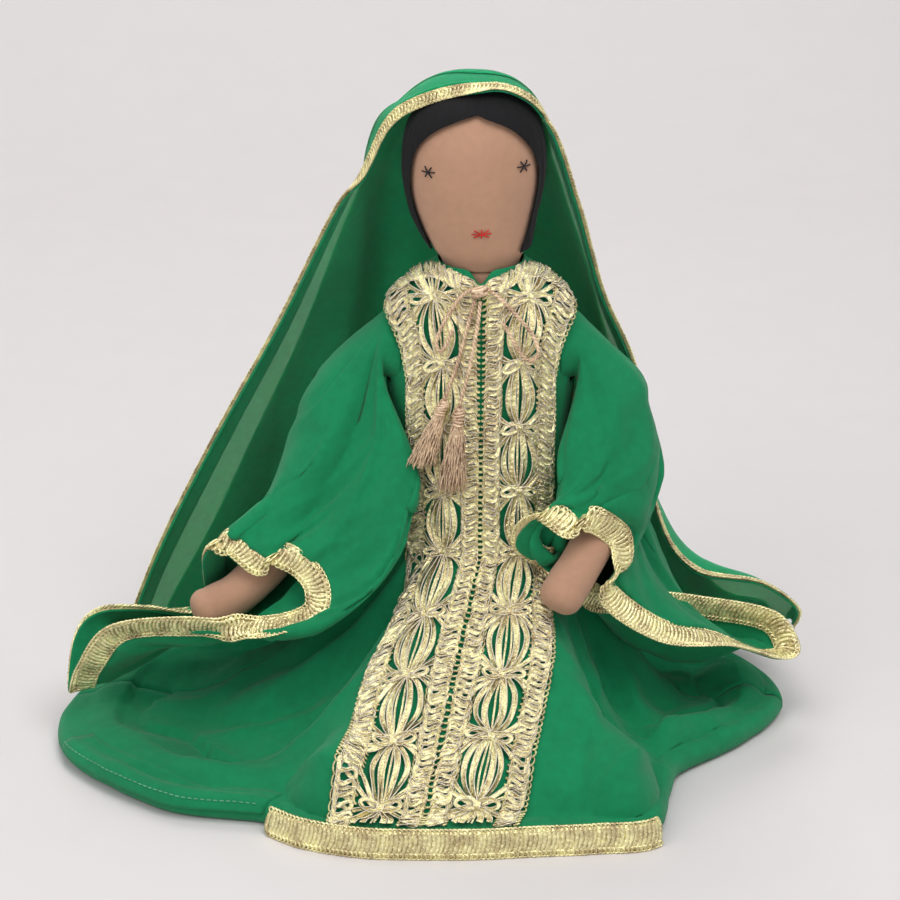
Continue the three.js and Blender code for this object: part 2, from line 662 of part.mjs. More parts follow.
function lace(side) {
  const length = lace_bodice_length + lace_slope_length - 1.4 * braid_width;
  const cells = Math.round(length / lace_pitch);
  const index = new Map();
  const flat = [];
  const faces = [];
  for (let c = 0; c < cells; c += 1) {
    const ids = cell_points.map((p) => {
      const key = `${p.x.toFixed(4)} ${(p.y + c).toFixed(4)}`;
      if (!index.has(key)) {
        index.set(key, flat.length);
        flat.push([p.x, ((p.y + c) / cells) * length]);
      }
      return index.get(key);
    });
    cell_faces.forEach((f) => faces.push(f.map((k) => ids[k])));
  }
  const edges = new Map();
  for (const [a, b, c] of faces) {
    [[a, b], [b, c], [c, a]].forEach(([p, q]) => edges.set(`${p} ${q}`, [p, q]));
  }
  const reach = lace_pitch / 8;
  const points = [];
  for (const height of [lace_gap + lace_thickness, lace_gap]) {
    for (const [across, run] of flat) {
      const step = reach / lace_width;
      const du = laceSurface(side, across + step, run).sub(laceSurface(side, across - step, run));
      const above = laceSurface(side, across, Math.max(run - reach, 0));
      const dv = laceSurface(side, across, run + reach).sub(above);
      const n = du.cross(dv).normalize().multiplyScalar(-side * height);
      points.push(laceSurface(side, across, run).add(n));
    }
  }
  const out = [];
  const n = flat.length;
  const add = (a, b, c) => out.push(...(side > 0 ? [a, c, b] : [a, b, c]));
  faces.forEach(([a, b, c]) => {
    add(a, b, c);
    add(n + a, n + c, n + b);
  });
  edges.forEach(([p, q]) => {
    if (!edges.has(`${q} ${p}`)) {
      add(p, n + q, q);
      add(p, n + p, n + q);
    }
  });
  return geometry(points, out);
}

// Tie: routes of its four cords from the knot, with the tassels on the two hanging ends
const tie_knot_point = [-1, -29.8, 247];
const tie_end_right_route = [
  [-3.2, -30.5, 243], [-5.5, -31.6, 234], [-8.5, -32.2, 222],
  [-12, -32.6, 209], [-15.5, -33, 199], [-17.6, -33.2, 192.5],
];
const tie_end_left_route = [
  [-0.6, -31.2, 242.6], [-1.6, -34.6, 233], [-3.6, -36, 221],
  [-6, -36.6, 208], [-8.8, -37, 197], [-10.4, -37.2, 190.5],
];
const bow_right_route = [
  [-5, -28.4, 247.6], [-10.5, -29.6, 243.5], [-15.5, -31, 236], [-19.5, -31.6, 228.5], [-21.5, -32.2, 221.5],
  [-19.6, -33.4, 217.5], [-16.6, -33.2, 221.5], [-13.8, -32.6, 229],
];
const bow_left_route = [
  [3, -28.4, 248], [8.5, -29.8, 244], [15.5, -31.2, 237], [22, -31.6, 229.5],
  [26.6, -31.6, 221.5], [27.4, -31.8, 215], [23.6, -32.6, 212.4], [19.2, -33, 216.5],
  [14.6, -33, 224.5], [10.6, -32.8, 232],
];

function cordTube(route) {
  const curve = new THREE.CatmullRomCurve3(route.map((p) => V(...p)));
  const section = new THREE.Shape();
  for (let k = 0; k < 8; k += 1) {
    const a = (k / 8) * 2 * Math.PI;
    const [x, y] = [Math.cos(a) * cord_diameter / 2, Math.sin(a) * cord_diameter / 2];
    if (k) {
      section.lineTo(x, y);
    } else {
      section.moveTo(x, y);
    }
  }
  const steps = Math.round(curve.getLength() / (2.4 * cord_diameter));
  return new THREE.ExtrudeGeometry(section, { steps, extrudePath: curve, bevelEnabled: false });
}

// Tassel: a bound head over a skirt of threads with shallow flutes
const tassel_shares = [
  [0, 0.2], [0.03, 0.5], [0.1, 0.62], [0.16, 0.45], [0.21, 0.42], [0.3, 0.62], [0.6, 0.85], [1, 1],
];
const tassel_flutes = 9;
const tassel_flat_share = 0.6;
const tassel_lean_shares = [-0.22, -0.06];

function tassel(route, lean) {
  const [x, y, z] = route[route.length - 1];
  const steps = 2 * tassel_flutes;
  return stuffed(tassel_shares.map(([drop, wide_share]) => {
    const r = wide_share * tassel_radius;
    const ring = [];
    for (let j = 0; j < steps; j += 1) {
      const a = -(j / steps) * 2 * Math.PI;
      const flute = 1 - (j % 2) * 0.12 * drop;
      const hang = drop * tassel_length;
      const deep = r * tassel_flat_share * flute;
      ring.push(V(x + lean * hang + r * flute * Math.cos(a), y + deep * Math.sin(a), z - seam_gap - hang));
    }
    return ring;
  }));
}

const [knot_x, knot_y, knot_z] = tie_knot_point;
const tie_knot = mergeVertices(
  new THREE.SphereGeometry(knot_radius, 12, 8).deleteAttribute('normal').deleteAttribute('uv')
    .scale(1, 0.7, 0.8).translate(knot_x, knot_y, knot_z),
);

// Limbs, each cut by the larger piece that it is sewn to
const grown_torso = toSolid(stuffed(torso_shares.map(([z, a, b, n]) => {
  const [wide_part, deep_part] = [a * torso_half_width + seam_gap, b * torso_half_depth + seam_gap];
  return levelRing(z * neck_height, wide_part, deep_part, 0, body_steps, n);
})));
const sleeve_grids = [sleeve_right_grid, sleeve_left_grid];
const sleeve_rooms = sleeve_grids.map((grid) => (
  toSolid(layer(grid, -cloth - seam_gap, 2 * seam_gap, true, true))
));
const sleeves = sleeve_grids.map((grid) => layer(grid, -cloth, 0, true, true));
const cuff_braids = sleeve_grids.map((grid, i) => {
  const high = braid_gap + cuff_braid_thickness;
  const band = toSolid(layer(grid, braid_gap, high, true, true, sleeve_rows - 1, sleeve_rows));
  return cut(band, sleeve_rooms[i]);
});
const dress_room = toSolid(layer(dress_grid, -cloth - seam_gap, seam_gap, true, true));
const laces = [-1, 1].map((side) => cut(toSolid(lace(side)), dress_room, ...sleeve_rooms));
const arm_root = cutter(new THREE.BoxGeometry(2 * arm_seat, wide, wide), 0, 0, 0);
const arms = [arm_right_shares, arm_left_shares].map((shares, i) => (
  cut(toSolid(limb(armStations(shares), 11)), arm_root, sleeve_rooms[i])
));
const leg_floor = ground.translate([0, 0, 2 * seam_gap]);
const legs = [-1, 1].map((side) => {
  const [x, y] = [side * hip[0], hip[1]];
  const turned = [-1, -0.5, 0, 0.5, 1].map((share) => (
    grown_torso.translate([-x, -y, 0]).rotate([0, 0, share * hip_swing]).translate([x, y, 0])
  ));
  return cut(toSolid(limb(legStations(side), 9)), leg_floor, ...turned);
});

// Hem braid: only across the front, where it faces the eye
const hem_braid_high = seam_gap + braid_thickness;
const hem_ring = toSolid(layer(dress_grid, seam_gap, hem_braid_high, true, true, dress_rows.length - 2));
const behind_hem = back_half.translate([0, -hem_braid_share * skirt_front, 0]);
const hem_braid = cut(hem_ring, ground, behind_hem);

const colours = {
  skin: [0xbf9477, 0.85, 0],
  hair: [0x141316, 0.9, 0],
  dress: [0x0e8a50, 0.8, 0],
  veil: [0x138a53, 0.8, 0],
  lace: [0xcdb566, 0.4, 0.6],
  braid: [0xd3bd74, 0.4, 0.6],
  tie: [0xb9937a, 0.6, 0.2],
};

const group = new THREE.Group();

function addPiece(name, colour, shape) {
  const [color, roughness, metalness] = colours[colour];
  const piece = new THREE.Mesh(shape, new THREE.MeshStandardMaterial({ color, roughness, metalness }));
  piece.name = name;
  group.add(piece);
}

addPiece('torso', 'skin', torso);
addPiece('head', 'skin', head);
addPiece('hair', 'hair', hair);
addPiece('arm_right', 'skin', arms[0]);
addPiece('arm_left', 'skin', arms[1]);
addPiece('leg_right', 'skin', legs[0]);
addPiece('leg_left', 'skin', legs[1]);
addPiece('dress_front', 'dress', dress_front);
addPiece('dress_back', 'dress', dress_back);
addPiece('sleeve_right', 'dress', sleeves[0]);
addPiece('sleeve_left', 'dress', sleeves[1]);
addPiece('hem_braid', 'braid', hem_braid);
addPiece('cuff_braid_right', 'braid', cuff_braids[0]);
addPiece('cuff_braid_left', 'braid', cuff_braids[1]);
addPiece('lace_right', 'lace', laces[0]);
addPiece('lace_left', 'lace', laces[1]);
addPiece('veil', 'veil', layer(veil_grid, 0, cloth, false, false));
addPiece('veil_braid', 'braid', veil_braid);
addPiece('tie_knot', 'tie', tie_knot);
addPiece('bow_right', 'tie', cordTube(bow_right_route));
addPiece('bow_left', 'tie', cordTube(bow_left_route));
addPiece('tie_end_right', 'tie', cordTube(tie_end_right_route));
addPiece('tie_end_left', 'tie', cordTube(tie_end_left_route));
addPiece('tassel_right', 'tie', tassel(tie_end_right_route, tassel_lean_shares[0]));
addPiece('tassel_left', 'tie', tassel(tie_end_left_route, tassel_lean_shares[1]));

export default group;
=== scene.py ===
"""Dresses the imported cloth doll: stuffed skins, dress, openwork lace, braid, tie and veil, with a plain stage."""

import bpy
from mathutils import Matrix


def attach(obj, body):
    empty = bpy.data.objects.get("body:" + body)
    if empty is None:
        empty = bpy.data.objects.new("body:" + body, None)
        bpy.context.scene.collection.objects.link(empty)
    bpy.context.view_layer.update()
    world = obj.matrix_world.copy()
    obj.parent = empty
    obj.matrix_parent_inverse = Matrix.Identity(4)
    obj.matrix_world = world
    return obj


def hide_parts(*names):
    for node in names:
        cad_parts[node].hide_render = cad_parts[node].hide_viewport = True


bl_info = {
    "name": "Seated Cloth Doll",
    "version": (1, 0, 0),
    "blender": (4, 5, 0),
    "location": "View3D > Sidebar > Doll",
    "description": "Stuffed skins, dress, openwork lace, braid, tie and veil on the packed doll",
    "category": "Object",
}

import math

import bmesh
import bpy
import numpy as np
from bpy.props import FloatProperty, FloatVectorProperty, IntProperty, PointerProperty
from mathutils import Vector, noise
from mathutils.bvhtree import BVHTree

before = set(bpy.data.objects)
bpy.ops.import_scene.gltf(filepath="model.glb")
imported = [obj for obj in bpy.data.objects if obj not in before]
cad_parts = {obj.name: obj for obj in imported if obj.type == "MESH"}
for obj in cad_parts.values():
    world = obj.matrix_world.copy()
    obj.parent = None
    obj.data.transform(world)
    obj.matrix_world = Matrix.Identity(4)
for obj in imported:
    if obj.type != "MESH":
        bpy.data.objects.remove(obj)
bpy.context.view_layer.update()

MM = 0.001
TAU = 2 * math.pi
SIDES = ((-1, "right"), (1, "left"))

# Sizes in millimetres that the CAD part is built from too
TORSO_HALF_WIDTH, TORSO_HALF_DEPTH, NECK_HEIGHT = 46.0, 34.0, 252.0
HEAD_HEIGHT, HEAD_HALF_WIDTH, HEAD_HALF_DEPTH, HEAD_LEAN = 90.0, 32.5, 27.0, -3.5
HAIR = 2.2
ARM_RADIUS, ARMHOLE_RADIUS, ARMHOLE_HEIGHT, ARM_SEAT, LEG_RADIUS = 12.5, 16.5, 206.0, 36.0, 17.0
CLOTH, BODICE_HALF_WIDTH, BODICE_HALF_DEPTH, LAP = 0.9, 47.5, 28.5, 106.0
SPREAD, SKIRT_FRONT, FOLD_DEPTH, FOLD_COUNT = 200.0, 138.0, 4.5, 11
ROLL_HEIGHT, ROLL_SHARE, ROLL_WIDTH = 17.0, 0.82, 0.16
SEAM_GAP, LAYER_GAP, REACH = 0.3, 1.2, 200.0
LACE_WIDTH, LACE_GAP, LACE_PITCH, LACE_THICKNESS = 46.0, 2.4, 33.0, 1
BRAID_WIDTH, VEIL_BRAID_WIDTH, BRAID_THICKNESS = 12.0, 5.0, 1.6
VEIL_TOP = 347.0
CORD = 2.2
TASSEL_LENGTH, TASSEL_RADIUS = 38.0, 5.5

# Its forms: places and reaches are shares of the sizes above, from the top or the armhole on
HIP = (0.42 * TORSO_HALF_WIDTH, -0.45 * TORSO_HALF_DEPTH)
FOOT = (1.56 * TORSO_HALF_WIDTH, -3.2 * TORSO_HALF_DEPTH)
LEG_SWELL = [0.9, 1, 0.94, 0.86, 0.88, 0.9, 0.55]
LEG_LENGTH = 0.92
HEM_REACH = [
    0.8, 0.78, 0.72, 0.6, 0.45, 0.36, 0.32, 0.31, 0.31, 0.31, 0.32, 0.36, 0.44, 0.58, 0.8, 1,
    1.09, 1.12, 1.03, 0.93, 0.79, 0.77, 0.74, 0.705, 0.69, 0.69, 0.72, 0.76, 0.66, 0.6, 0.64, 0.72,
]
BODICE = [
    [1, 0.45, 0.72], [0.985, 0.6, 0.8], [0.95, 0.82, 0.9], [0.91, 0.97, 0.97],
    [0.82, 1, 1], [0.66, 0.93, 1], [0.5, 0.89, 1.01], [0.42, 0.92, 1.05],
]
TORSO = [
    [0, 0.87, 0.88, 2.4], [0.05, 1, 1, 2.3], [0.16, 0.98, 0.97, 2.2], [0.37, 0.78, 0.74, 2], [0.6, 0.78, 0.7, 2],
    [0.77, 0.8, 0.68, 2.2], [0.86, 0.78, 0.64, 2.2], [0.915, 0.7, 0.58, 2], [0.955, 0.48, 0.51, 2],
    [1, 0.39, 0.485, 2],
]
HEAD = [
    [0, 0.58, 0.64], [0.04, 0.62, 0.68], [0.12, 0.74, 0.78], [0.3, 0.9, 0.91], [0.51, 1, 1],
    [0.716, 0.955, 0.98], [0.86, 0.78, 0.82], [0.952, 0.5, 0.55], [0.99, 0.16, 0.18],
]
FACE = [
    [-0.6, -0.3], [-0.6, 0.075], [-0.76, 0.22], [-0.92, 0.4], [-0.93, 0.56], [-0.82, 0.7], [-0.53, 0.81],
    [-0.04, 0.885], [0.18, 0.87], [0.54, 0.81], [0.82, 0.7], [0.94, 0.56],
    [0.91, 0.4], [0.8, 0.22], [0.66, 0.075], [0.66, -0.3],
]
ARM_RIGHT = [
    [-0.16, 0, 1], [-0.28, 0, 0.98], [-0.36, 0, 0.79], [-0.44, -0.03, 0.61],
    [-0.52, -0.075, 0.48], [-0.6, -0.11, 0.405], [-0.67, -0.13, 0.37], [-0.72, -0.145, 0.355],
]
ARM_LEFT = [
    [0.16, 0, 1], [0.27, -0.015, 0.98], [0.325, -0.05, 0.83], [0.34, -0.1, 0.71],
    [0.305, -0.145, 0.61], [0.25, -0.21, 0.53], [0.21, -0.25, 0.48], [0.18, -0.285, 0.44],
]
ARM_SWELL = [0.8, 0.84, 0.95, 0.92, 0.84, 0.8, 0.82, 0.5]
CUFF_RIGHT = [
    [-0.71, -0.025, 0.31], [-0.69, -0.125, 0.51], [-0.65, -0.13, 0.54], [-0.58, -0.15, 0.495],
    [-0.525, -0.165, 0.525], [-0.47, -0.18, 0.505], [-0.435, -0.21, 0.465], [-0.45, -0.24, 0.41],
    [-0.58, -0.25, 0.385], [-0.75, -0.225, 0.39], [-0.935, -0.195, 0.355], [-1.02, -0.17, 0.23],
    [-1.045, -0.14, 0.15], [-1.03, -0.08, 0.26], [-0.98, -0.045, 0.315], [-0.87, -0.03, 0.32],
]
CUFF_LEFT = [
    [0.26, -0.175, 0.455], [0.11, -0.195, 0.55], [0.09, -0.21, 0.61], [0.145, -0.225, 0.67],
    [0.205, -0.25, 0.645], [0.255, -0.235, 0.665], [0.32, -0.205, 0.6], [0.33, -0.22, 0.53],
    [0.3, -0.235, 0.45], [0.45, -0.21, 0.33], [0.63, -0.15, 0.28], [0.76, -0.07, 0.2],
    [0.815, -0.02, 0.2], [0.76, 0.03, 0.28], [0.56, 0, 0.34], [0.39, -0.08, 0.4],
]
SAG_RIGHT = [
    [0, 0.06, 0.04], [0, 0.03, -0.09], [0, 0.02, -0.09], [0.03, 0, -0.08], [0.06, -0.02, -0.07],
    [0.09, -0.05, -0.06], [0.12, -0.07, -0.08], [0.12, -0.1, -0.1], [0.11, -0.12, -0.16],
    [0.1, -0.1, -0.2], [0.05, -0.06, -0.22], [0, -0.02, -0.2], [0, 0.02, -0.2],
    [0, 0.06, -0.16], [0, 0.08, -0.12], [0, 0.08, -0.06],
]
SAG_LEFT = [
    [0, -0.06, -0.12], [0.05, -0.05, -0.1], [0.08, -0.03, -0.07], [0.13, 0, -0.04], [0.16, 0.04, -0.04],
    [0.18, 0.08, -0.05], [0.18, 0.07, -0.06], [0.16, 0.05, -0.06], [0.12, 0.03, -0.07],
    [0.05, 0.01, -0.07], [0, 0, -0.08], [0, 0, -0.1], [0, 0.02, -0.1],
    [0, 0.02, -0.1], [0, -0.02, -0.12], [0, -0.05, -0.13],
]
# How far the far side of each sleeve sinks behind its own rim once it has left the armhole
TUCK_RIGHT = [[0.03, 0.06, -0.24]] + 12 * [[0, 0, 0]] + [[0, 0, -0.08], [0, 0.02, -0.22], [0, 0.04, -0.28]]
TUCK_LEFT = 9 * [[0, 0, 0]] + [
    [-0.01, 0.01, -0.04], [-0.02, 0.02, -0.09], [-0.02, 0.02, -0.1], [-0.02, 0.02, -0.15], [0, 0.02, -0.3],
    [0, 0.03, -0.3], [0, 0.02, -0.16],
]
VEIL_EDGE = [
    [-0.975, 0.25, 0.003], [-0.84, 0.24, 0.207], [-0.675, 0.22, 0.403], [-0.5, 0.17, 0.597],
    [-0.33, 0.08, 0.813], [-0.25, 0.0, 0.896], [-0.17, -0.05, 0.974], [-0.01, -0.08, 1.0],
    [0.145, -0.03, 0.942], [0.23, 0.04, 0.807], [0.3, 0.1, 0.657], [0.395, 0.15, 0.513], [0.46, 0.19, 0.282],
    [0.56, 0.18, 0.19], [0.735, 0.16, 0.173], [0.83, 0.14, 0.138], [0.825, 0.16, 0.104],
]
VEIL_UPPER = [
    [-0.94, 0.29, 0.017], [-0.815, 0.32, 0.144], [-0.64, 0.33, 0.288], [-0.46, 0.3, 0.461],
    [-0.31, 0.24, 0.669], [-0.25, 0.21, 0.772], [-0.17, 0.18, 0.865], [-0.03, 0.18, 0.916],
    [0.11, 0.19, 0.836], [0.21, 0.22, 0.692], [0.29, 0.25, 0.548], [0.39, 0.28, 0.418], [0.49, 0.3, 0.242],
    [0.59, 0.29, 0.179], [0.735, 0.25, 0.156], [0.825, 0.21, 0.127], [0.825, 0.19, 0.104],
]
VEIL_LOWER = [
    [-0.915, 0.33, 0.009], [-0.815, 0.38, 0.069], [-0.67, 0.42, 0.13], [-0.515, 0.43, 0.216],
    [-0.38, 0.41, 0.346], [-0.29, 0.39, 0.432], [-0.2, 0.37, 0.504], [-0.04, 0.35, 0.548],
    [0.125, 0.36, 0.519], [0.23, 0.38, 0.432], [0.32, 0.4, 0.317], [0.42, 0.41, 0.231], [0.53, 0.41, 0.127],
    [0.62, 0.38, 0.104], [0.73, 0.32, 0.098], [0.805, 0.26, 0.104], [0.82, 0.22, 0.098],
]
VEIL_HEM = [
    [-0.89, 0.36, 0.003], [-0.825, 0.42, 0.003], [-0.725, 0.47, 0.003], [-0.6, 0.52, 0.003],
    [-0.45, 0.56, 0.003], [-0.35, 0.585, 0.003], [-0.225, 0.605, 0.003], [-0.05, 0.62, 0.003],
    [0.125, 0.61, 0.003], [0.25, 0.595, 0.003], [0.36, 0.57, 0.003], [0.475, 0.53, 0.003],
    [0.575, 0.49, 0.006], [0.65, 0.44, 0.023], [0.725, 0.37, 0.052], [0.79, 0.3, 0.075],
    [0.815, 0.25, 0.086],
]
VEIL_FOLDS, VEIL_FOLD_DEPTH = 7, 3.5
CROWN_DROP = 3.0

# Across and height of the stitches in the face, and how finely the hair cloth is made
EYE_RIGHT, EYE_LEFT, MOUTH = (-25.1, 304), (19.7, 306.5), (0, 274)
HAIR_ROWS, HAIR_STEPS = 110, 220

# Neck cord: routes in millimetres, and each tassel's slant and length against the solid one's
TIE_KNOT = (-1, -29.8, 247)
TIE_END_RIGHT = [
    (-3.2, -30.5, 243), (-5.5, -31.6, 234), (-8.5, -32.2, 222), (-12, -32.6, 209), (-15.5, -33, 199),
    (-17.6, -33.2, 192.5),
]
TIE_END_LEFT = [
    (-0.6, -31.2, 242.6), (-1.6, -34.6, 233), (-3.6, -36, 221), (-6, -36.6, 208), (-8.8, -37, 197),
    (-10.4, -37.2, 190.5),
]
BOW_RIGHT = [
    (-5, -28.4, 247.6), (-10.5, -29.6, 243.5), (-15.5, -31, 236), (-19.5, -31.6, 228.5), (-21.5, -32.2, 221.5),
    (-19.6, -33.4, 217.5), (-16.6, -33.2, 221.5), (-13.8, -32.6, 229),
]
BOW_LEFT = [
    (3, -28.4, 248), (8.5, -29.8, 244), (15.5, -31.2, 237), (22, -31.6, 229.5), (26.6, -31.6, 221.5),
    (27.4, -31.8, 215), (23.6, -32.6, 212.4), (19.2, -33, 216.5), (14.6, -33, 224.5), (10.6, -32.8, 232),
]
TASSEL_LEAN = {"right": -0.34, "left": -0.09}
TASSEL_FALL = {"right": 0.94, "left": 1.2}
TASSEL_WRAPS = ((0.02, 1.5), (0.055, 2.3), (0.095, 2.7), (0.135, 2.4), (0.17, 2.1), (0.2, 2.2))

# Lace strip on the bodice: its width as it falls to the lap, the height of its top edge across it, and half its slit
BODICE_LACE = 153.0
LACE_FALL = [0, 0.1, 0.16, 0.23, 0.33, 0.45, 0.6, 1]
LACE_NARROW = [0.98, 0.94, 0.86, 0.79, 0.74, 0.745, 0.757, 0.77]
LACE_ACROSS = [0, 0.2, 0.46, 0.75, 1]
LACE_TOP = [250.5, 256, 264, 260, 249]
LACE_SLIT = [1.2, 1.2, 0.3, 0.2]
LACE_PAST = 0.03

# Collar: how much it draws in to the sides and in front, its rise and the depth of its notch
COLLAR_IN, COLLAR_RISE, COLLAR_NOTCH = (0.014, 0.045), 2.2, 7.0

# Turns round the doll: its front, where the straight hem in front starts and ends, and the braid on it
FRONT_TURN, HEM_STARTS, HEM_ENDS, HEM_BRAID = 0.75, (0.628, 0.645), (0.835, 0.852), (0.637, 0.843)

# Lace pattern, in millimetres and shares of the ribbon's width. Each oval's ribbons: bulge, width, lean; ribbons that
# swing to and fro along the borders and the top: phase, pitch, width; rims of yarn: place across, reach, pitch
LACE_OVALS = (
    (-4.3, 1.15, 0.5), (4.3, 1.15, -0.5), (-8.6, 1.0, 0.7), (8.6, 1.0, -0.7), (-1.1, 0.35, 0), (1.4, 0.35, 0),
)
LACE_BORDER_INSET, LACE_BORDER_REACH = 6.0, 4.1
LACE_BORDERS = ((0, 6.2, 0.82), (np.pi, 6.2, 0.82), (np.pi / 2, 8.2, 0.6))
LACE_TOP_INSET, LACE_TOP_BORDERS = 7, ((0, 6.0, 0.8), (np.pi, 6.0, 0.8), (np.pi / 2, 7.8, 0.8))
LACE_RIMS = ((0.6, 1.3, 3.2), (11.0, 0.7, 3.1), (LACE_WIDTH - 11.0, 0.7, 3.1), (LACE_WIDTH - 0.6, 1.3, 3.2))
FIRST_KNOT = 18

# Rows of the dress: down the bodice, then down the skirt, closer at the hem
BODICE_ROWS = np.linspace(0, 1, 44)[:-1]
SKIRT_ROWS = np.concatenate([np.linspace(0, 0.9, 62), np.linspace(0.9, 1, 26)[1:]])

# In millimetres: thickness of foil ribbon, of the veil's turned cloth and the braid's band, and the trims' yarns
FOIL, THIN_CLOTH = 0.3, 0.3
VEIL_YARN, CUFF_YARN, HEM_YARN, RIM_YARN = 0.36, 0.55, 0.6, 0.52

# The photograph's camera: lens in millimetres, distance and aim in metres, tilt in degrees
LENS, CAMERA_REACH, CAMERA_AIM, CAMERA_TILT = 120, 1.5, (-0.015, 0.151), 24


# Curves and surfaces that follow the same rules as the solids


def spline(rows, t, closed=False):
    """Values on a smooth curve through rows at even steps, for every parameter in t."""
    rows = np.asarray(rows, float)
    n = len(rows)
    spans = n if closed else n - 1
    at = np.clip(np.asarray(t, float) * spans, 0, spans)
    i = np.minimum(np.floor(at).astype(int), spans - 1)
    f = (at - i).reshape(at.shape + (1,) * (rows.ndim - 1))

    def pick(k):
        return rows[k % n] if closed else rows[np.clip(k, 0, n - 1)]

    a, b, c, d = pick(i - 1), pick(i), pick(i + 1), pick(i + 2)
    m0, m1 = (c - a) / 2, (d - b) / 2
    f2 = f * f
    f3 = f2 * f
    return (2 * f3 - 3 * f2 + 1) * b + (f3 - 2 * f2 + f) * m0 + (3 * f2 - 2 * f3) * c + (f3 - f2) * m1


def run_of(points):
    """Length from the first point, or row of points, to each one."""
    steps = np.linalg.norm(np.diff(points, axis=0), axis=-1)
    return np.concatenate([np.zeros_like(steps[:1]), np.cumsum(steps, axis=0)])


def at_run(points, run, at):
    """Points at given lengths along a line."""
    return np.stack([np.interp(at, run, points[:, k]) for k in range(3)], axis=-1)


def xyz(*values):
    """Points from their three coordinates, each an array or a number."""
    return np.stack(np.broadcast_arrays(*values), axis=-1)


def unit(vectors):
    return vectors / np.maximum(np.linalg.norm(vectors, axis=-1, keepdims=True), 1e-9)


def blur(values):
    """Evens out rows of values in place, apart from the first and the last."""
    values[1:-1] = (values[:-2] + 2 * values[1:-1] + values[2:]) / 4


def smooth_curve(points, steps):
    """Evenly spaced points on one smooth curve through a route."""
    fine = spline(points, np.linspace(0, 1, 40 * len(points)))
    run = run_of(fine)
    return at_run(fine, run, np.linspace(0, run[-1], steps + 1)), run[-1]


def ease(x, low, high):
    """0 up to low, 1 from high on, and smooth between them."""
    t = np.clip((np.asarray(x, float) - low) / (high - low), 0, 1)
    return t * t * (3 - 2 * t)


def hem_reach(turn):
    return spline(np.array(HEM_REACH)[:, None], turn, True)[..., 0] * SPREAD


def fall(turn):
    """How steeply the skirt drops from the lap: least in front."""
    return 1 + 1.5 * (1 - ease(np.cos((turn - FRONT_TURN) * TAU), 0.35, 0.85))


def waist_reach(turn):
    a = BODICE_HALF_WIDTH * BODICE[7][1]
    b = BODICE_HALF_DEPTH * BODICE[7][2]
    return 1 / np.hypot(np.cos(turn * TAU) / a, np.sin(turn * TAU) / b)


def over_leg(x, y):
    """Height of cloth that lies over the legs."""
    top = np.zeros_like(x)
    for side in (-1, 1):
        ax, bx = side * HIP[0], side * FOOT[0]
        dx, dy = bx - ax, FOOT[1] - HIP[1]
        t = np.clip(((x - ax) * dx + (y - HIP[1]) * dy) / (dx * dx + dy * dy), 0, 1)
        away = np.hypot(x - ax - t * dx, y - HIP[1] - t * dy)
        rise = (2 * LEG_RADIUS + 7 * LAYER_GAP) / 2
        top = np.maximum(top, rise * (1 + np.cos(np.pi * np.minimum(away / (2.5 * LEG_RADIUS), 1))))
    return top


def skirt_height(x, y):
    """Height of the skirt over any point of the ground, zero outside its hem."""
    turn = (np.arctan2(y, x) / TAU + 1) % 1
    inner, outer = waist_reach(turn), hem_reach(turn)
    reach = np.hypot(x, y)
    t = np.clip((reach - inner) / (outer - inner), 0, 1)
    front = ease(np.cos((turn - FRONT_TURN) * TAU), 0.5, 0.9)
    waves = (1 - front) * FOLD_DEPTH * np.sin(turn * TAU * FOLD_COUNT)
    side = ease(np.abs(np.cos(turn * TAU)), 0.6, 0.9)
    roll = side * ROLL_HEIGHT * np.exp(-(((t - ROLL_SHARE) / ROLL_WIDTH) ** 2))
    base = LAP * (1 - t) ** fall(turn) + waves * np.sin(np.pi * t**1.5) + roll
    sharp = 2 * CLOTH
    mixed = sharp * np.logaddexp(base / sharp, over_leg(x, y) * (1 - t**12) / sharp)
    height = np.maximum(mixed * (1 - t**16), BRAID_WIDTH)
    return np.where(reach > outer + BRAID_THICKNESS + 3 * LAYER_GAP, 0, height)


def bodice_points(turn, s):
    """Bodice from its neckline, drawn in round the neck with a small V in front, down to the lap."""
    ring = spline(BODICE, s)
    tight = 1 - ease(s, 0, 0.1)
    notch = (1 - ease(s, 0, 0.16)) * np.exp(-(((turn - 0.748) / 0.03) ** 2))
    return xyz(
        ring[..., 1] * (1 - COLLAR_IN[0] * tight) * BODICE_HALF_WIDTH * np.cos(turn * TAU),
        ring[..., 2] * (1 - COLLAR_IN[1] * tight) * BODICE_HALF_DEPTH * np.sin(turn * TAU),
        ring[..., 0] * NECK_HEIGHT + COLLAR_RISE * tight - COLLAR_NOTCH * notch,
    )


def skirt_points(turn, t):
    """Skirt from the lap to the hem: a straight hem in front, and an edge that rolls under elsewhere."""
    tuck = 0.93
    inner, outer = waist_reach(turn), hem_reach(turn)
    front = front_share(turn)
    cos, sin = np.cos(turn * TAU), np.sin(turn * TAU)
    reach = inner + (outer - inner) * t
    straight = xyz(reach * cos, reach * sin, skirt_height(reach * cos, reach * sin))
    drop = ease(t, 0.985, 1)
    straight[..., 2] *= 1 - drop
    edge = inner + (outer - inner) * tuck
    edge_height = skirt_height(edge * cos, edge * sin)
    radius = edge_height / 2
    angle = np.clip((t - tuck) / (1 - tuck), 0, 1) * math.radians(165)
    rolled_reach = edge + 0.9 * radius * np.sin(angle)
    rolled = xyz(rolled_reach * cos, rolled_reach * sin, radius * (1 + np.cos(angle)))
    rolled = np.where((t < tuck)[..., None], straight, rolled)
    return rolled * (1 - front[..., None]) + straight * front[..., None]


def front_share(turn):
    """1 where the skirt's braided hem lies in front, 0 where the edge rolls under."""
    return ease(turn, *HEM_STARTS) * (1 - ease(turn, *HEM_ENDS))


